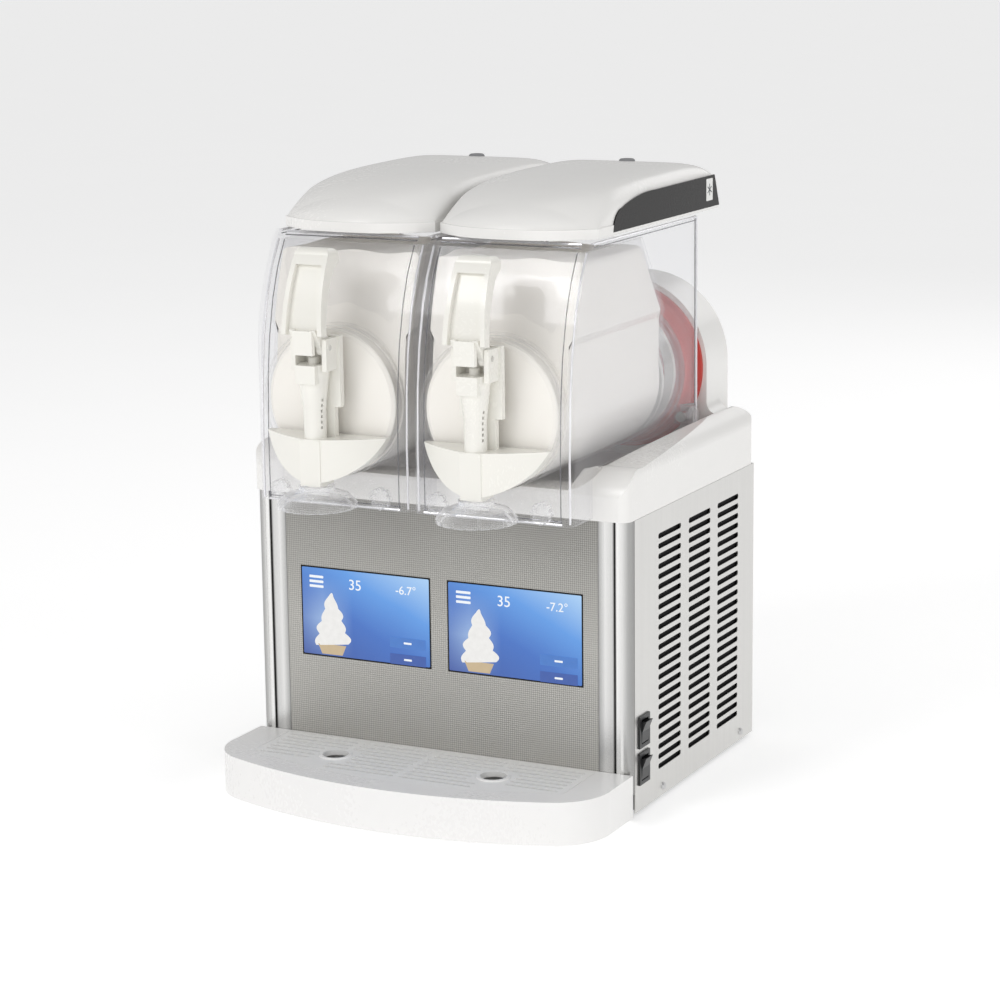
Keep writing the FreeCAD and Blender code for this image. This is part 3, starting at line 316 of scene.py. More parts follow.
finish = {
    "whiteShell": mouldedPlastic("whiteShell", (0.86, 0.85, 0.83), 0.24),
    "ivoryTap": mouldedPlastic("ivoryTap", (0.86, 0.845, 0.79), 0.24, 900.0, speck=0.015, coat=0.2,
                               peelDepth=0.04),
    "trayShell": mouldedPlastic("trayShell", (0.88, 0.872, 0.86), 0.26),
    "gridPlastic": mouldedPlastic("gridPlastic", (0.90, 0.895, 0.88), 0.34),
    "darkTrim": mouldedPlastic("darkTrim", (0.008, 0.007, 0.007), 0.26, 2600.0, speck=0.2, peelDepth=0.03,
                               shine=0.22),
    "labelPaper": mouldedPlastic("labelPaper", (0.82, 0.82, 0.80), 0.5),
    "louvreShadeBlack": mouldedPlastic("louvreShadeBlack", (0.010, 0.010, 0.011), 0.75, 300.0, 0.3, shine=0.2),
    "blackSwitch": mouldedPlastic("blackSwitch", (0.012, 0.012, 0.013), 0.28, 1800.0, 0.2),
    "blackRubber": mouldedPlastic("blackRubber", (0.02, 0.02, 0.02), 0.7, 900.0, 0.2),
    "redSeal": mouldedPlastic("redSeal", (0.55, 0.035, 0.025), 0.35, 700.0, 0.12),
    "wellShade": mouldedPlastic("wellShade", (0.27, 0.27, 0.262), 0.5, 500.0, 0.2),
    "greySeal": mouldedPlastic("greySeal", (0.25, 0.25, 0.26), 0.6, 700.0, 0.1),
    "augerPlastic": mouldedPlastic("augerPlastic", (0.72, 0.70, 0.65), 0.35),
    "motorPaint": mouldedPlastic("motorPaint", (0.10, 0.11, 0.12), 0.45, 500.0, 0.15),
    "blackPaint": mouldedPlastic("blackPaint", (0.018, 0.018, 0.019), 0.4, 400.0, 0.2),
    "steelSide": brushedSteel("steelSide", (0.70, 0.693, 0.675), 0.33, "z"),
    "steelPostReflections": paintedReflectionPost("steelPostReflections"),
    "steelDrum": brushedSteel("steelDrum", (0.68, 0.68, 0.68), 0.25, "y"),
    "steelShaft": brushedSteel("steelShaft", (0.7, 0.7, 0.7), 0.2, "y"),
    "steelScrew": brushedSteel("steelScrew", (0.6, 0.6, 0.6), 0.3, "y", 3000.0),
    "steelSpring": brushedSteel("steelSpring", (0.6, 0.6, 0.6), 0.25, "z", 3000.0),
    "zincSheet": brushedSteel("zincSheet", (0.55, 0.56, 0.57), 0.45, "x", 120.0),
    "copper": brushedSteel("copper", (0.72, 0.36, 0.22), 0.3, "z", 600.0),
    "embossedSheetPaintedShade": embossedSheetPaintedShade("embossedSheetPaintedShade", (0.52, 0.51, 0.48)),
    "finStack": finStack("finStack", (0.7, 0.7, 0.71), "z", 0.0022),
    "circuitBoard": circuitBoard("circuitBoard"),
    "clearShell": clearPlastic("clearShell", (0.90, 0.90, 0.93), 0.035, 0.75, 4.0),
    "clearTank": clearPlastic("clearTank", (0.92, 0.92, 0.92), 0.05, 0.6, 3.0),
    "clearNozzle": clearPlastic("clearNozzle", (0.97, 0.97, 0.98), 0.10, 1.0, 2.4),
    "shellEdgeHighlight": clearPlastic("shellEdgeHighlight", (0.95, 0.95, 0.97), 0.75, 0.3, 1.5),
    "edgeShade": clearPlastic("edgeShade", (0.22, 0.22, 0.24), 0.62, 0.3, 1.5),
    "frozenMixGlow": frozenMixGlow("frozenMixGlow", (0.97, 0.94, 0.875)),
}
print("finishes ready:", len(finish))

wears = {
    "base_pan": "zincSheet", "feet": "blackRubber", "corner_posts": "steelPostReflections",
    "front_panel": "embossedSheetPaintedShade", "rear_grille": "steelSide", "panel_screws": "steelScrew",
    "switch_frames": "blackSwitch",
    "rocker_upper": "blackSwitch", "rocker_lower": "blackSwitch", "control_board": "circuitBoard",
    "cord_gland": "blackRubber", "deck": "whiteShell", "tower_back_cover": "whiteShell",
    "bowl_pins": "steelShaft", "compressor": "blackPaint", "condenser": "finStack",
    "fan_shroud": "blackPaint", "fan_rotor": "steelScrew", "filter_drier": "copper",
    "refrigerant_pipes": "copper",
    "drip_tray": "trayShell", "drip_grid": "gridPlastic",
}
pairWears = {
    "side_panel": "steelSide", "display": "darkTrim", "evaporator": "steelDrum", "gasket": "redSeal",
    "shaft_seal": "greySeal", "drive_shaft": "steelShaft", "gearmotor": "motorPaint", "auger": "augerPlastic",
    "bowl_shell": "clearShell", "tank": "clearTank", "tap_body": "ivoryTap", "pivot_pins": "steelShaft",
    "tap_piston": "ivoryTap", "tap_spring": "steelSpring", "tap_handle": "ivoryTap", "nozzle": "clearNozzle",
    "skirt_knobs": "clearNozzle", "lid": "whiteShell", "lid_side_trims": "darkTrim",
}
for stem, worn in pairWears.items():
    for side in sides:
        wears[f"{stem}_{side}"] = worn
for name, worn in wears.items():
    for slot in nodes[name].material_slots:
        slot.link = "OBJECT"
        slot.material = finish[worn]
print("frame dressed:", len(wears), "nodes of", len(nodes))


def addPiece(name, points, faces, worn, body, smooth=35.0):
    # a closed surface is turned outwards if its signed volume comes out negative
    points = np.asarray(points, float)
    volume = 0.0
    for face in faces:
        if face.ndim == 2:
            a, b, c, d = (points[face[:, i]] for i in range(4))
            volume += (a * np.cross(b, c)).sum() + (a * np.cross(c, d)).sum()
    loops = [row for face in faces if face.ndim == 2 for row in face.tolist()]
    loops += [face.tolist() for face in faces if face.ndim == 1]
    if volume < 0:
        loops = [row[::-1] for row in loops]
    mesh = bpy.data.meshes.new(name)
    mesh.from_pydata(points.tolist(), [], loops)
    mesh.validate()
    mesh.shade_smooth()
    mesh.set_sharp_from_angle(angle=math.radians(smooth))
    piece = bpy.data.objects.new(name, mesh)
    scene.collection.objects.link(piece)
    mesh.materials.append(worn)
    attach(piece, body)
    return piece


def gridFaces(rows, columns, wrapRows=False, wrapColumns=False, start=0):
    # quads between neighbouring points of a grid, joined round where it wraps
    r = np.arange(rows if wrapRows else rows - 1)
    c = np.arange(columns if wrapColumns else columns - 1)
    r, c = np.meshgrid(r, c, indexing="ij")
    rNext, cNext = (r + 1) % rows, (c + 1) % columns
    quads = np.stack([r * columns + c, r * columns + cNext, rNext * columns + cNext, rNext * columns + c], -1)
    return quads.reshape(-1, 4) + start


def turned(name, profile, centre, axis, worn, body, steps=96):
    # a profile of (radius, height) carried round an axis; its ends lie on the axis, or it closes on itself
    profile = np.asarray(profile, float)
    angle = np.linspace(0.0, 2 * math.pi, steps, endpoint=False)
    r = profile[:, 0][:, None] * np.ones(steps)
    h = profile[:, 1][:, None] * np.ones(steps)
    u, v = r * np.cos(angle), r * np.sin(angle)
    layout = {"x": (h, u, v), "y": (u, h, v), "z": (u, v, h)}[axis]
    points = np.stack(layout, -1).reshape(-1, 3) + np.asarray(centre)
    faces = [gridFaces(len(profile), steps, wrapColumns=True)]
    closes = np.allclose(profile[0], profile[-1])
    if not closes:
        faces += [np.arange(steps)[::-1], np.arange(steps) + (len(profile) - 1) * steps]
    return addPiece(name, points, faces, worn, body)


def rodAlong(name, path, radius, worn, body, sidesRound, side):
    # a round section carried along a path, framed by its direction and a side that never lies along it
    path = np.asarray(path, float)
    ahead = np.gradient(path, axis=0)
    ahead /= np.linalg.norm(ahead, axis=1)[:, None]
    up = np.tile(side, (len(path), 1))
    across = np.cross(ahead, up)
    across /= np.linalg.norm(across, axis=1)[:, None]
    up = np.cross(across, ahead)
    angle = np.linspace(0, 2 * math.pi, sidesRound, endpoint=False)
    ring = up[:, None, :] * np.cos(angle)[None, :, None] + across[:, None, :] * np.sin(angle)[None, :, None]
    points = (path[:, None, :] + ring * radius).reshape(-1, 3)
    last = (len(path) - 1) * sidesRound
    faces = [gridFaces(len(path), sidesRound, wrapColumns=True), np.arange(sidesRound)[::-1],
             np.arange(sidesRound) + last]
    return addPiece(name, points, faces, worn, body)


def plateFrom(name, outline, low, high, axis, worn, body, slot=None):
    # a flat outline given thickness along an axis
    outline = np.asarray(outline, float)
    count = len(outline)
    both = []
    for level in (low, high):
        u, v = outline[:, 0], outline[:, 1]
        h = np.full(count, level)
        both.append(np.stack({"x": (h, u, v), "y": (u, h, v), "z": (u, v, h)}[axis], -1))
    points = np.concatenate(both)
    faces = [gridFaces(2, count, wrapColumns=True), np.arange(count)[::-1], np.arange(count) + count]
    return addPiece(name, points, faces, worn, body)


def roundedOutline(low, high, radius, steps=6):
    # corners of a rectangle rounded by quarter circles
    turn = np.linspace(0, math.pi / 2, steps)
    (a, b), (c, d) = low, high
    centres = [((c - radius, d - radius), 0.0), ((a + radius, d - radius), 0.5),
               ((a + radius, b + radius), 1.0), ((c - radius, b + radius), 1.5)]
    return np.concatenate([np.stack([cx + radius * np.cos(turn + q * math.pi),
                                     cy + radius * np.sin(turn + q * math.pi)], -1)
                           for (cx, cy), q in centres])


mixCup = {"front": -0.1466, "bossBack": -0.1307, "bossR": 0.0717, "outerR": 0.0732, "innerR": 0.0724,
          "scrollFront": -0.1262, "back": 0.0965}
mixBlock = {"arch": 0.0728, "waist": 0.0731, "shoulder": 0.0776, "creaseLow": 0.478, "creaseHigh": 0.486,
            "level": 0.5585, "wave": 0.0022}


def cupProfile():
    c = mixCup
    return [(1e-5, c["front"]), (c["bossR"] - 0.004, c["front"]), (c["bossR"], c["front"] + 0.003),
            (c["bossR"], c["bossBack"]), (c["outerR"], c["bossBack"] + 0.0004),
            (c["outerR"], c["back"] - 0.006), (c["outerR"] - 0.0004, c["back"]),
            (c["innerR"], c["back"]), (c["innerR"], c["scrollFront"]),
            (1e-5, c["scrollFront"])]


def frontWall(z):
    # the tank's bowed front wall, an arc through three heights
    t = np.clip((z - axisZ) / 0.154, 0.0, 1.0)
    return -0.1277 + 0.0013 * t + 0.0302 * t ** 2.3


def backWall(z):
    # upright below the crease, then leaning forwards
    t = np.clip((z - 0.478) / 0.088, 0.0, 1.0)
    return 0.0942 - 0.0618 * t


def blockPoints(xc):
    b = mixBlock
    count = 61
    angle = np.linspace(0, math.pi, count)
    arch = np.stack([b["arch"] * np.cos(angle), axisZ + b["arch"] * np.sin(angle)], -1)
    wall = np.array([(b["waist"], axisZ), (b["waist"], b["creaseLow"]), (b["shoulder"], b["creaseHigh"]),
                     (b["shoulder"], b["level"] - 0.004), (b["shoulder"] - 0.004, b["level"]),
                     (-b["shoulder"] + 0.004, b["level"]), (-b["shoulder"], b["level"] - 0.004),
                     (-b["shoulder"], b["creaseHigh"]), (-b["waist"], b["creaseLow"]), (-b["waist"], axisZ)])
    run = np.concatenate([[0.0], np.cumsum(np.linalg.norm(np.diff(wall, axis=0), axis=1))])
    spot = np.sort(np.concatenate([np.linspace(0, run[-1], count - 8), run[1:-1]]))
    outer = np.stack([np.interp(spot, run, wall[:, 0]), np.interp(spot, run, wall[:, 1])], -1)
    along = np.linspace(0, 1, 40)
    rings = []
    for edge, way in ((outer, along), (arch, along[::-1])):
        z = edge[:, 1][:, None]
        y = frontWall(z) + (backWall(z) - frontWall(z)) * way[None, :]
        x = np.repeat(edge[:, 0][:, None], len(way), 1) + xc
        lift = (z > b["level"] - 0.001) * b["wave"] * (np.sin(x * 95.0) * np.sin(y * 70.0) - 0.6)
        rings.append(np.stack([x, y, z + lift], -1))
    return np.concatenate(rings, 1)


for side, sign in sides.items():
    centre = (sign * bowlX, 0.0, axisZ)
    turned(f"mix_scroll_{side}", cupProfile(), centre, "y", finish["frozenMixGlow"], f"bowl_{side}", 128)
    points = blockPoints(sign * bowlX)
    rows, columns = points.shape[:2]
    ends = [np.arange(columns)[::-1], np.arange(columns) + (rows - 1) * columns]
    faces = [gridFaces(rows, columns, wrapColumns=True)] + ends
    addPiece(f"mix_hopper_{side}", points.reshape(-1, 3), faces, finish["frozenMixGlow"], f"bowl_{side}", 50.0)
print("mix poured")


coverEdge = {"half": 0.0871, "wall": 0.003, "back": 0.165, "top": 0.575, "low": 0.306, "cornerR": 0.012,
             "foot": 0.3556, "windowTop": 0.566, "topFront": -0.090, "ledgeY": -0.0965, "hemY": -0.1455,
             "count": 48}
coverRods = {"back_edge": 0.00135, "back_shade": 0.0007, "top_edge": 0.00135, "top_shade": 0.0006,
             "front_edge": 0.0012, "front_shade": 0.00055, "front_ledge": 0.0013,
             "front_ledge_shade": 0.0007, "hem": 0.0013, "hem_shade": 0.0007}
coverStud = {"radius": 0.0105, "deep": 0.0055, "at": (0.148, 0.366)}


def coverFront(z):
    # the window's side view: upright low down, bowed above
    knots = np.array([(0.306, -0.147), (0.37, -0.1474), (0.431, -0.145), (0.47, -0.1405), (0.51, -0.1315),
                      (0.54, -0.1205), (0.569, -0.104), (0.575, -0.098)])
    return np.interp(z, knots[:, 0], knots[:, 1])


def coverRod(kind, points, side, mark="", lying=(1.0, 0.0, 0.0)):
    # a bright thread of painted highlight along an edge of the cover, or the dark thread of painted shade
    # beside it
    worn = finish["edgeShade" if kind.endswith("shade") else "shellEdgeHighlight"]
    rodAlong(f"cover_{kind}_{side}{mark}", points, coverRods[kind], worn, f"bowl_{side}", 8, lying)


# each cover's edges get bright threads of painted highlight and dark threads of painted shade beside them
for side, sign in sides.items():
    xc = sign * bowlX
    e = coverEdge
    count = e["count"]
    mid = e["half"] - e["wall"] / 2
    for hand, mark in ((-1, "a"), (1, "b")):
        edgeX = np.full(count, xc + hand * mid)
        z = np.linspace(e["foot"], e["top"] - 0.002, count)
        back = np.stack([edgeX, np.full(count, e["back"] - 0.0012), z], -1)
        coverRod("back_edge", back, side, mark)
        coverRod("back_shade", back - (0.0, 0.0032, 0.0), side, mark)
        y = np.linspace(e["topFront"], e["back"] - 0.002, count)
        top = np.stack([edgeX, y, np.full(count, e["top"] - 0.0014)], -1)
        coverRod("top_edge", top, side, mark)
        coverRod("top_shade", top - (0.0, 0.0, 0.0034), side, mark)
        z = np.linspace(e["low"] + 0.002, e["windowTop"], count)
        inset = e["cornerR"] - (e["cornerR"] - e["wall"] / 2) * math.sqrt(0.5)  # middle of the round corner
        corner = np.stack([np.full(count, xc + hand * (e["half"] - inset)), coverFront(z) + inset, z], -1)
        coverRod("front_edge", corner, side, mark)
        nearX = xc + hand * (e["half"] - e["cornerR"] - 0.001)
        near = np.stack([np.full(count, nearX), coverFront(z) + e["wall"] / 2, z], -1)
        coverRod("front_shade", near, side, mark)
    upright = (0.0, 0.0, 1.0)
    x = xc + np.linspace(-1, 1, count) * (e["half"] - e["cornerR"])
    ledge = np.stack([x, np.full(count, e["ledgeY"]), np.full(count, e["top"] - 0.0016)], -1)
    coverRod("front_ledge", ledge, side, lying=upright)
    coverRod("front_ledge_shade", ledge + (0.0, -0.0035, -0.0031), side, lying=upright)
    hem = np.stack([x, np.full(count, e["hemY"]), np.full(count, e["low"] + 0.0016)], -1)
    coverRod("hem", hem, side, lying=upright)
    coverRod("hem_shade", hem + (0.0, 0.0, 0.0030), side, lying=upright)
    stud = coverStud
    centre = (xc + e["half"], stud["at"][0], stud["at"][1])
    radius, deep = stud["radius"], stud["deep"]
    dome = [(1e-5, 0.0), (radius, 0.0), (radius, deep * 0.6), (radius * 0.86, deep),
            (radius * 0.55, deep * 0.8), (1e-5, deep * 0.8)]
    turned(f"cover_stud_{side}", dome, centre, "x", finish["clearNozzle"], f"bowl_{side}", 48)
print("cover edges lit")


hood = {"half": 0.0846, "lip": 0.5872, "low": 0.577, "front": -0.1138, "back": 0.2348, "rise": 0.0415,
        "frontRun": 0.046, "rearR": 0.014, "step": 0.0012, "wall": 0.0028, "rows": 150, "columns": 110,
        "bow": (0.013, 0.058), "lipShare": 0.16, "lipRun": 0.004, "fallFrom": 0.10, "square": (2.2, 4.4),
        "squareFrom": -0.088, "squareRun": 0.048, "halfLong": 0.1744, "middleY": 0.0604}


def hoodGrid():
    # height = lip + rise x (slow climb from the front) x (squarish arch across) x (quick fall at the back);
    # the front edge bows back towards the sides and the rear corners are quarter rounds
    h = hood
    u = np.sin(np.linspace(-1, 1, h["columns"]) * math.pi / 2)[None, :]
    w = (0.5 - 0.5 * np.cos(np.linspace(0, math.pi, h["rows"])))[:, None] ** 1.25
    flatX = u * h["half"]
    edge = h["front"] + h["bow"][0] * (np.abs(flatX) / h["bow"][1]) ** 2.5
    y = edge + (h["back"] - edge) * w
    deep = np.clip(y - (h["back"] - h["rearR"]), 0.0, h["rearR"])
    x = u * (h["half"] - h["rearR"] + np.sqrt(h["rearR"] ** 2 - deep ** 2))
    d = y - edge
    lipShare = h["lipShare"]
    climb = lipShare * (1 - np.exp(-d / h["lipRun"])) + (1 - lipShare) * (1 - np.exp(-d / h["frontRun"]))
    squareness = h["square"][0] + h["square"][1] * np.clip((y - h["squareFrom"]) / h["squareRun"], 0.0, 1.0)
    arch = np.clip(1 - np.abs(u) ** squareness, 0.0, 1.0) ** (1 / squareness)
    late = np.clip((y - h["fallFrom"]) / (h["back"] - h["fallFrom"]), 0.0, 1.0)
    fall = np.clip(1 - late ** 5.0, 0.0, 1.0) ** 0.42
    z = h["lip"] + h["rise"] * climb * arch * fall
    return np.stack(np.broadcast_arrays(x, y, z), -1)


def hoodLid(side, sign):
    h = hood
    top = hoodGrid()
    rows, columns = top.shape[:2]
    index = np.arange(rows * columns).reshape(rows, columns)
    loop = np.concatenate([index[0, :-1], index[:-1, -1], index[-1, :0:-1], index[:0:-1, 0]])
    skin = top.reshape(-1, 3)
    rim = skin[loop]
    spread = np.array([1 + h["step"] / h["half"], 1 + h["step"] / h["halfLong"], 1.0])
    middle = np.array([0.0, h["middleY"], 0.0])
    out = (rim - middle) * spread + middle
    rings = []
    for z in (h["lip"] - 0.0002, h["lip"] - 0.0012, h["low"] + 0.0004, h["low"]):
        ring = out.copy()
        ring[:, 2] = z
        rings.append(ring)
    points = np.concatenate([skin] + rings) + (sign * bowlX, 0.0, 0.0)
    count, start = len(loop), len(skin)
    faces = [gridFaces(rows, columns), gridFaces(4, count, wrapColumns=True, start=start)]
    faces.append(np.stack([loop, np.roll(loop, -1), start + (np.arange(count) + 1) % count,
                           start + np.arange(count)], -1))
    piece = openShell(f"lid_hood_{side}", points, faces, finish["whiteShell"], f"lid_{side}", h["wall"])
    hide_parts(f"lid_{side}")


def openShell(name, points, faces, worn, body, wall):
    # an open skin whose faces are made to agree and point up and out, then given a wall inwards
    mesh = bpy.data.meshes.new(name)
    mesh.from_pydata(points.tolist(), [], [row for block in faces for row in block.tolist()])
    work = bmesh.new()
    work.from_mesh(mesh)
    bmesh.ops.remove_doubles(work, verts=work.verts, dist=1e-6)
    bmesh.ops.recalc_face_normals(work, faces=work.faces)
    highest = max(work.faces, key=lambda face: face.calc_center_median().z)
    if highest.normal.z < 0:
        bmesh.ops.reverse_faces(work, faces=work.faces)
    work.to_mesh(mesh)
    work.free()
    mesh.shade_smooth()
    mesh.set_sharp_from_angle(angle=math.radians(40.0))
    mesh.materials.append(worn)
    piece = bpy.data.objects.new(name, mesh)
    scene.collection.objects.link(piece)
    shell = piece.modifiers.new("wall", "SOLIDIFY")
    shell.thickness = wall
    shell.offset = -1.0
    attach(piece, body)
    return piece


labelKit = {"middle": (0.1985, 0.5985), "half": (0.0085, 0.0115), "arm": 0.0062, "thin": 0.0006,
            "lift": 0.00025, "trimFace": 0.086, "corner": 0.0012}
lidKnob = {"radius": 0.0085, "tall": 0.0041, "at": (0.1800, 0.6262)}


def lidLabel(side, sign):
    # a small pale panel with a plain six-armed snowflake, on the right of each lid
    k = labelKit
    face = sign * bowlX + k["trimFace"]
    (y, z), (dy, dz) = k["middle"], k["half"]
    plateFrom(f"lid_label_{side}", roundedOutline((y - dy, z - dz), (y + dy, z + dz), k["corner"]), face,
              face + k["lift"], "x", finish["labelPaper"], f"lid_{side}")
    for arm in range(3):
        turn = math.pi / 3 * arm + math.pi / 6
        bar = roundedOutline((-k["arm"], -k["thin"]), (k["arm"], k["thin"]), 0.0003, 3)
        spoke = np.stack([y + bar[:, 0] * math.cos(turn) - bar[:, 1] * math.sin(turn),
                          z + bar[:, 0] * math.sin(turn) + bar[:, 1] * math.cos(turn)], -1)
        top = face + k["lift"] * (1.6 + 0.2 * arm)  # each arm a shade prouder, so that none lie level
        plateFrom(f"lid_snow_{side}{arm}", spoke, face + k["lift"], top, "x", finish["motorPaint"],
                  f"lid_{side}")
    radius, tall = lidKnob["radius"], lidKnob["tall"]
    knob = [(1e-5, 0.0), (radius, 0.0), (radius, tall - 0.0019), (radius - 0.0015, tall - 0.0005),
            (radius - 0.0045, tall - 0.0001), (1e-5, tall)]
    centre = (sign * bowlX, *lidKnob["at"])
    turned(f"lid_knob_{side}", knob, centre, "z", finish["greySeal"], f"lid_{side}", 40)


for side, sign in sides.items():
    hoodLid(side, sign)
    lidLabel(side, sign)
print("lids closed")


# painted shade: a black sheet just inside the side panel, so that the louvres show dark
liner = {"inside": (0.2080, 0.2092), "low": (-0.040, 0.026), "high": (0.205, 0.290), "corner": 0.004}
plateFrom("louvre_liner", roundedOutline(liner["low"], liner["high"], liner["corner"]), *liner["inside"], "x",
          finish["louvreShadeBlack"], "base")
print("louvres backed")


# painted shade: a grey sheet in the tray's well, seen as shadow through the drip grid
pool = {"half": 0.168, "back": -0.107, "corner": -0.160, "apex": -0.196, "z": (0.0062, 0.0078)}


def trayShadeOutline():
    # flat at the back, a shallow bow in front: y = apex + (corner - apex) x (x / half) squared
    p = pool
    x = np.linspace(p["half"], -p["half"], 41)
    bow = p["apex"] + (p["corner"] - p["apex"]) * (x / p["half"]) ** 2
    return np.concatenate([[(p["half"], p["back"])], np.stack([x, bow], -1), [(-p["half"], p["back"])]])


plateFrom("tray_pool", trayShadeOutline(), *pool["z"], "z", finish["wellShade"], "tray")
print("tray well shaded")


screenKit = {"margin": 0.0014, "proud": 0.0004, "step": 0.0003, "degrees": {"l": "-6.7°", "r": "-7.2°"}}


def lettering(name, words, size, at, level, worn, body):
    # figures become a mesh before they are placed
    curve = bpy.data.curves.new(name, "FONT")
    curve.body = words
    curve.size = size
    curve.extrude = 0.00012
    stand = bpy.data.objects.new(name + "_stand", curve)
    scene.collection.objects.link(stand)
    bpy.context.view_layer.update()
    mesh = bpy.data.meshes.new_from_object(stand.evaluated_get(bpy.context.evaluated_depsgraph_get()))
    bpy.data.objects.remove(stand)
    mesh.transform(Matrix.Translation(Vector((at[0], level, at[1]))) @ Matrix.Rotation(math.pi / 2, 4, "X"))
    mesh.materials.clear()
    mesh.materials.append(worn)
    piece = bpy.data.objects.new(name, mesh)
    scene.collection.objects.link(piece)
    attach(piece, body)
    return piece


litWhite = litPaint("litWhite", (0.92, 0.96, 1.0), 0.95)
litCream = litPaint("litCream", (0.98, 0.97, 0.95), 0.85)
litWafer = litPaint("litWafer", (0.80, 0.62, 0.38), 0.7)
litKey = litPaint("litKey", (0.03, 0.10, 0.42), 0.9)
litKeyPale = litPaint("litKeyPale", (0.05, 0.2, 0.62), 0.9)


def swirlCone(name, xc, zc, wide, tall, level, body):
    # a swirl of soft ice: tiers of narrowing discs in relief, over a short wafer cup
    t = np.linspace(0, 1, 90)
    tiers = 4.2
    reach = (1.0 - t) ** 0.72 * (0.78 + 0.22 * np.abs(np.sin(math.pi * (t * tiers + 0.08)))) * wide / 2
    lean = 0.0011 * np.sin(2 * math.pi * t * tiers * 0.5)
    z = zc + tall * t
    across = np.linspace(-1, 1, 25)
    x = xc + lean[:, None] + reach[:, None] * across[None, :]
    lift = z[:, None] + 0.0022 * across[None, :] * (1 - t)[:, None]
    bulge = np.sqrt(np.clip(1 - across ** 2, 0, 1))[None, :] * (reach[:, None] / wide * 2)
    front = level - 0.0002 - 0.0007 * bulge
    top = np.stack([x, front, lift], -1)
    low = top.copy()
    low[..., 1] = level
    ring = np.concatenate([top, low[:, ::-1]], 1)
    rows, columns = ring.shape[:2]
    ends = [np.arange(columns)[::-1], np.arange(columns) + (rows - 1) * columns]
    faces = [gridFaces(rows, columns, wrapColumns=True)] + ends
    addPiece(name, ring.reshape(-1, 3), faces, litCream, body, 60.0)
    rim, foot, cupLow = wide * 0.36, wide * 0.26, zc - tall * 0.19
    cup = [(xc - rim, zc), (xc - foot, cupLow), (xc + foot, cupLow), (xc + rim, zc)]
    plateFrom(name + "_cup", cup, level - 0.0006, level, "y", litWafer, body)


for side in sides:
    low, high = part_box(f"display_{side}")
    face = low[1]
    k = screenKit
    a, b = (low[0] + k["margin"], low[2] + k["margin"]), (high[0] - k["margin"], high[2] - k["margin"])
    level = face - k["proud"]
    glow = screenGlow(f"screenGlow_{side}", ((a[0], level, a[1]), (b[0], face, b[1])))
    plateFrom(f"screen_{side}", roundedOutline(a, b, 0.0012), level, face - 0.00005, "y", glow, "base",
              "screen_glass")
    wide, tall = b[0] - a[0], b[1] - a[1]
    swirlCone(f"screen_cone_{side}", a[0] + wide * 0.23, a[1] + tall * 0.13, wide * 0.31, tall * 0.60, level,
              "base")
    for row in range(3):
        z = b[1] - tall * (0.10 + 0.055 * row)
        lowEnd, highEnd = (a[0] + wide * 0.06, z - tall * 0.014), (a[0] + wide * 0.17, z + tall * 0.014)
        bar = roundedOutline(lowEnd, highEnd, 0.0005)
        plateFrom(f"screen_bar_{side}{row}", bar, level - k["step"], level, "y", litWhite, "base")
    figures = {"speed": ("35", 0.0155, 0.37, 0.21), "degrees": (k["degrees"][side], 0.0125, 0.74, 0.20)}
    for name, (words, size, fromLeft, fromTop) in figures.items():
        at = (a[0] + wide * fromLeft, b[1] - tall * fromTop)
        lettering(f"screen_{name}_{side}", words, size, at, level - 0.0002, litWhite, "base")
    for row, worn in enumerate((litKeyPale, litKey)):
        z = a[1] + tall * (0.245 - 0.19 * row)
        lowEnd, highEnd = (b[0] - wide * 0.31, z - tall * 0.06), (b[0] - wide * 0.03, z + tall * 0.06)
        key = roundedOutline(lowEnd, highEnd, 0.0008)
        plateFrom(f"screen_key_{side}{row}", key, level - k["step"], level, "y", worn, "base")
        lowEnd, highEnd = (b[0] - wide * 0.20, z - tall * 0.011), (b[0] - wide * 0.14, z + tall * 0.011)
        mark = roundedOutline(lowEnd, highEnd, 0.0004)
        plateFrom(f"screen_key_mark_{side}{row}", mark, level - 0.0005, level - k["step"], "y", litWhite,
                  "base")
print("screens lit")


studio = {"camera": (1.312, -2.5735, 0.903), "azimuth": 26.58, "elevation": 11.98, "roll": -0.70,
          "lens": 102.7, "floorTone": (0.93, 0.93, 0.93), "floorGlow": 0.40, "air": 0.60,
          "sky": [(0.0, (0.75, 0.75, 0.76)), (0.48, (0.70, 0.70, 0.71)), (0.56, (0.92, 0.92, 0.92)),
                  (0.85, (0.80, 0.80, 0.80))]}
lamps = {  # place, what it points at, width of the square, watts
    "key": ((-1.1, -2.8, 2.2), (0.0, 0.0, 0.30), 1.1, 25.0),
    "front": ((0.5, -3.4, 0.9), (0.0, 0.0, 0.25), 2.2, 13.0),
    "top": ((0.1, 0.3, 2.9), (0.0, 0.0, 0.3), 2.2, 5.0),
    "right": ((2.8, -0.5, 1.1), (0.1, 0.0, 0.25), 1.2, 12.0),
    "rear": ((0.6, 2.8, 1.9), (0.0, 0.0, 0.4), 1.6, 10.0),
}


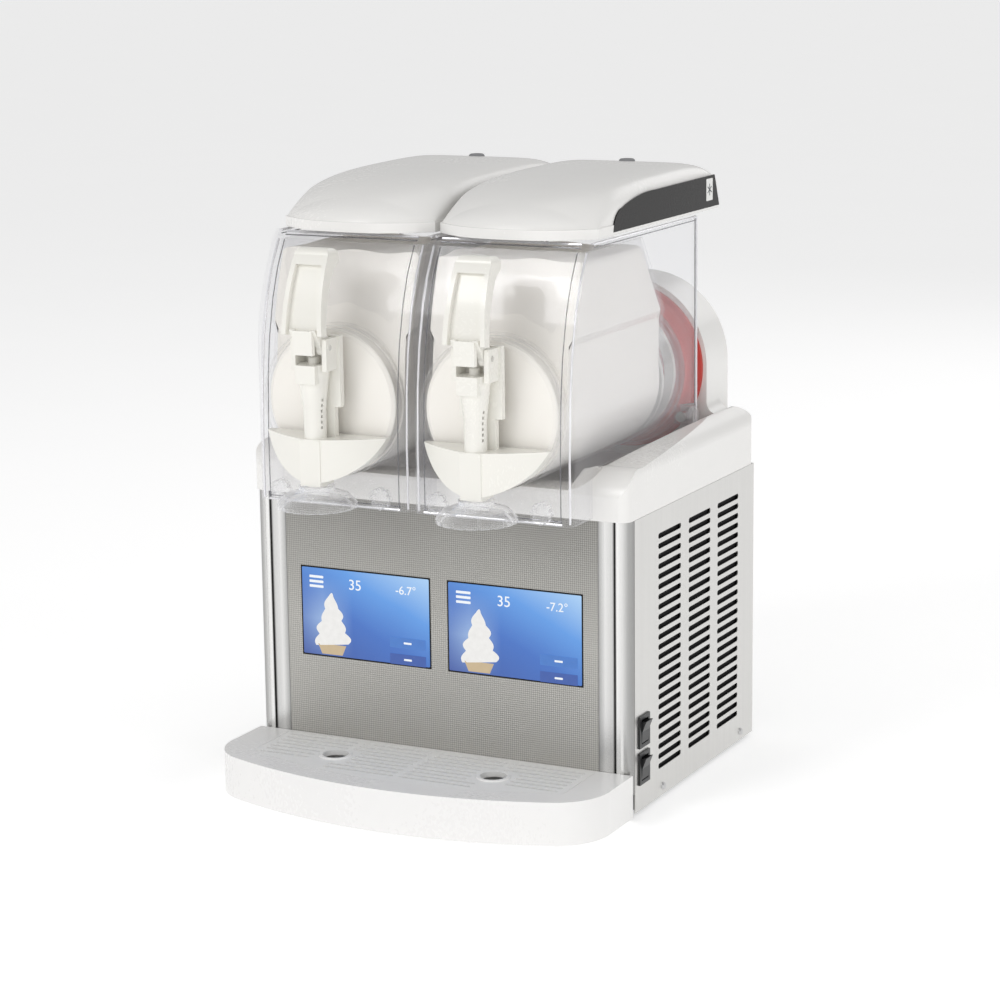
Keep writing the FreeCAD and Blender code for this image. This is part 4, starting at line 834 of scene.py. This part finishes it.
def buildStudio():
    s = studio
    a, e, roll = (math.radians(s[key]) for key in ("azimuth", "elevation", "roll"))
    back = Vector((math.sin(a) * math.cos(e), -math.cos(a) * math.cos(e), math.sin(e)))
    ahead = -back
    level = ahead.cross(Vector((0, 0, 1))).normalized()
    upright = level.cross(ahead)
    right = level * math.cos(roll) + upright * math.sin(roll)
    up = upright * math.cos(roll) - level * math.sin(roll)
    data = bpy.data.cameras.new("camera")
    data.lens = s["lens"]
    data.sensor_width = 36.0
    data.clip_end = 100.0
    camera = bpy.data.objects.new("camera", data)
    scene.collection.objects.link(camera)
    turn = Matrix((right, up, back)).transposed()
    camera.matrix_world = Matrix.Translation(s["camera"]) @ turn.to_4x4()
    scene.camera = camera

    world = bpy.data.worlds.new("studioAir")
    scene.world = world
    air = Finish("studioAir", world)
    way = air.node("ShaderNodeTexCoord", out="Generated")
    height = air.node("ShaderNodeSeparateXYZ", {}, {"Vector": way}, "Z")
    tone = air.node("ShaderNodeValToRGB", {"stops": s["sky"]}, {"Fac": height * 0.5 + 0.5})
    light = air.node("ShaderNodeBackground", {}, {"Color": tone, "Strength": s["air"]})
    air.node("ShaderNodeOutputWorld", {}, {"Surface": light})

    for name, (spot, aim, size, power) in lamps.items():
        lamp = bpy.data.lights.new(name, "AREA")
        lamp.shape = "SQUARE"
        lamp.size = size
        lamp.energy = power
        holder = bpy.data.objects.new(name, lamp)
        holder.location = spot
        holder.rotation_euler = (Vector(aim) - Vector(spot)).to_track_quat("-Z", "Y").to_euler()
        scene.collection.objects.link(holder)

    f = Finish("floorPaper")
    shade = f.between(f.noise(3.0, 2.0), 0.985, 1.0)
    colour = f.tinted(s["floorTone"], shade)
    paper = f.end(f.plastic(Base_Color=colour, Roughness=0.8, Normal=f.bump(f.noise(400.0), 0.05, 0.0005),
                            Emission_Color=colour, Emission_Strength=s["floorGlow"]))
    mesh = bpy.data.meshes.new("floor")
    mesh.from_pydata([(-40, -40, 0), (40, -40, 0), (40, 40, 0), (-40, 40, 0)], [], [(0, 1, 2, 3)])
    mesh.materials.append(paper)
    floor = bpy.data.objects.new("floor", mesh)
    scene.collection.objects.link(floor)
    scene.view_settings.view_transform = "Standard"
    scene.cycles.transparent_max_bounces = 40


buildStudio()
print("studio set")
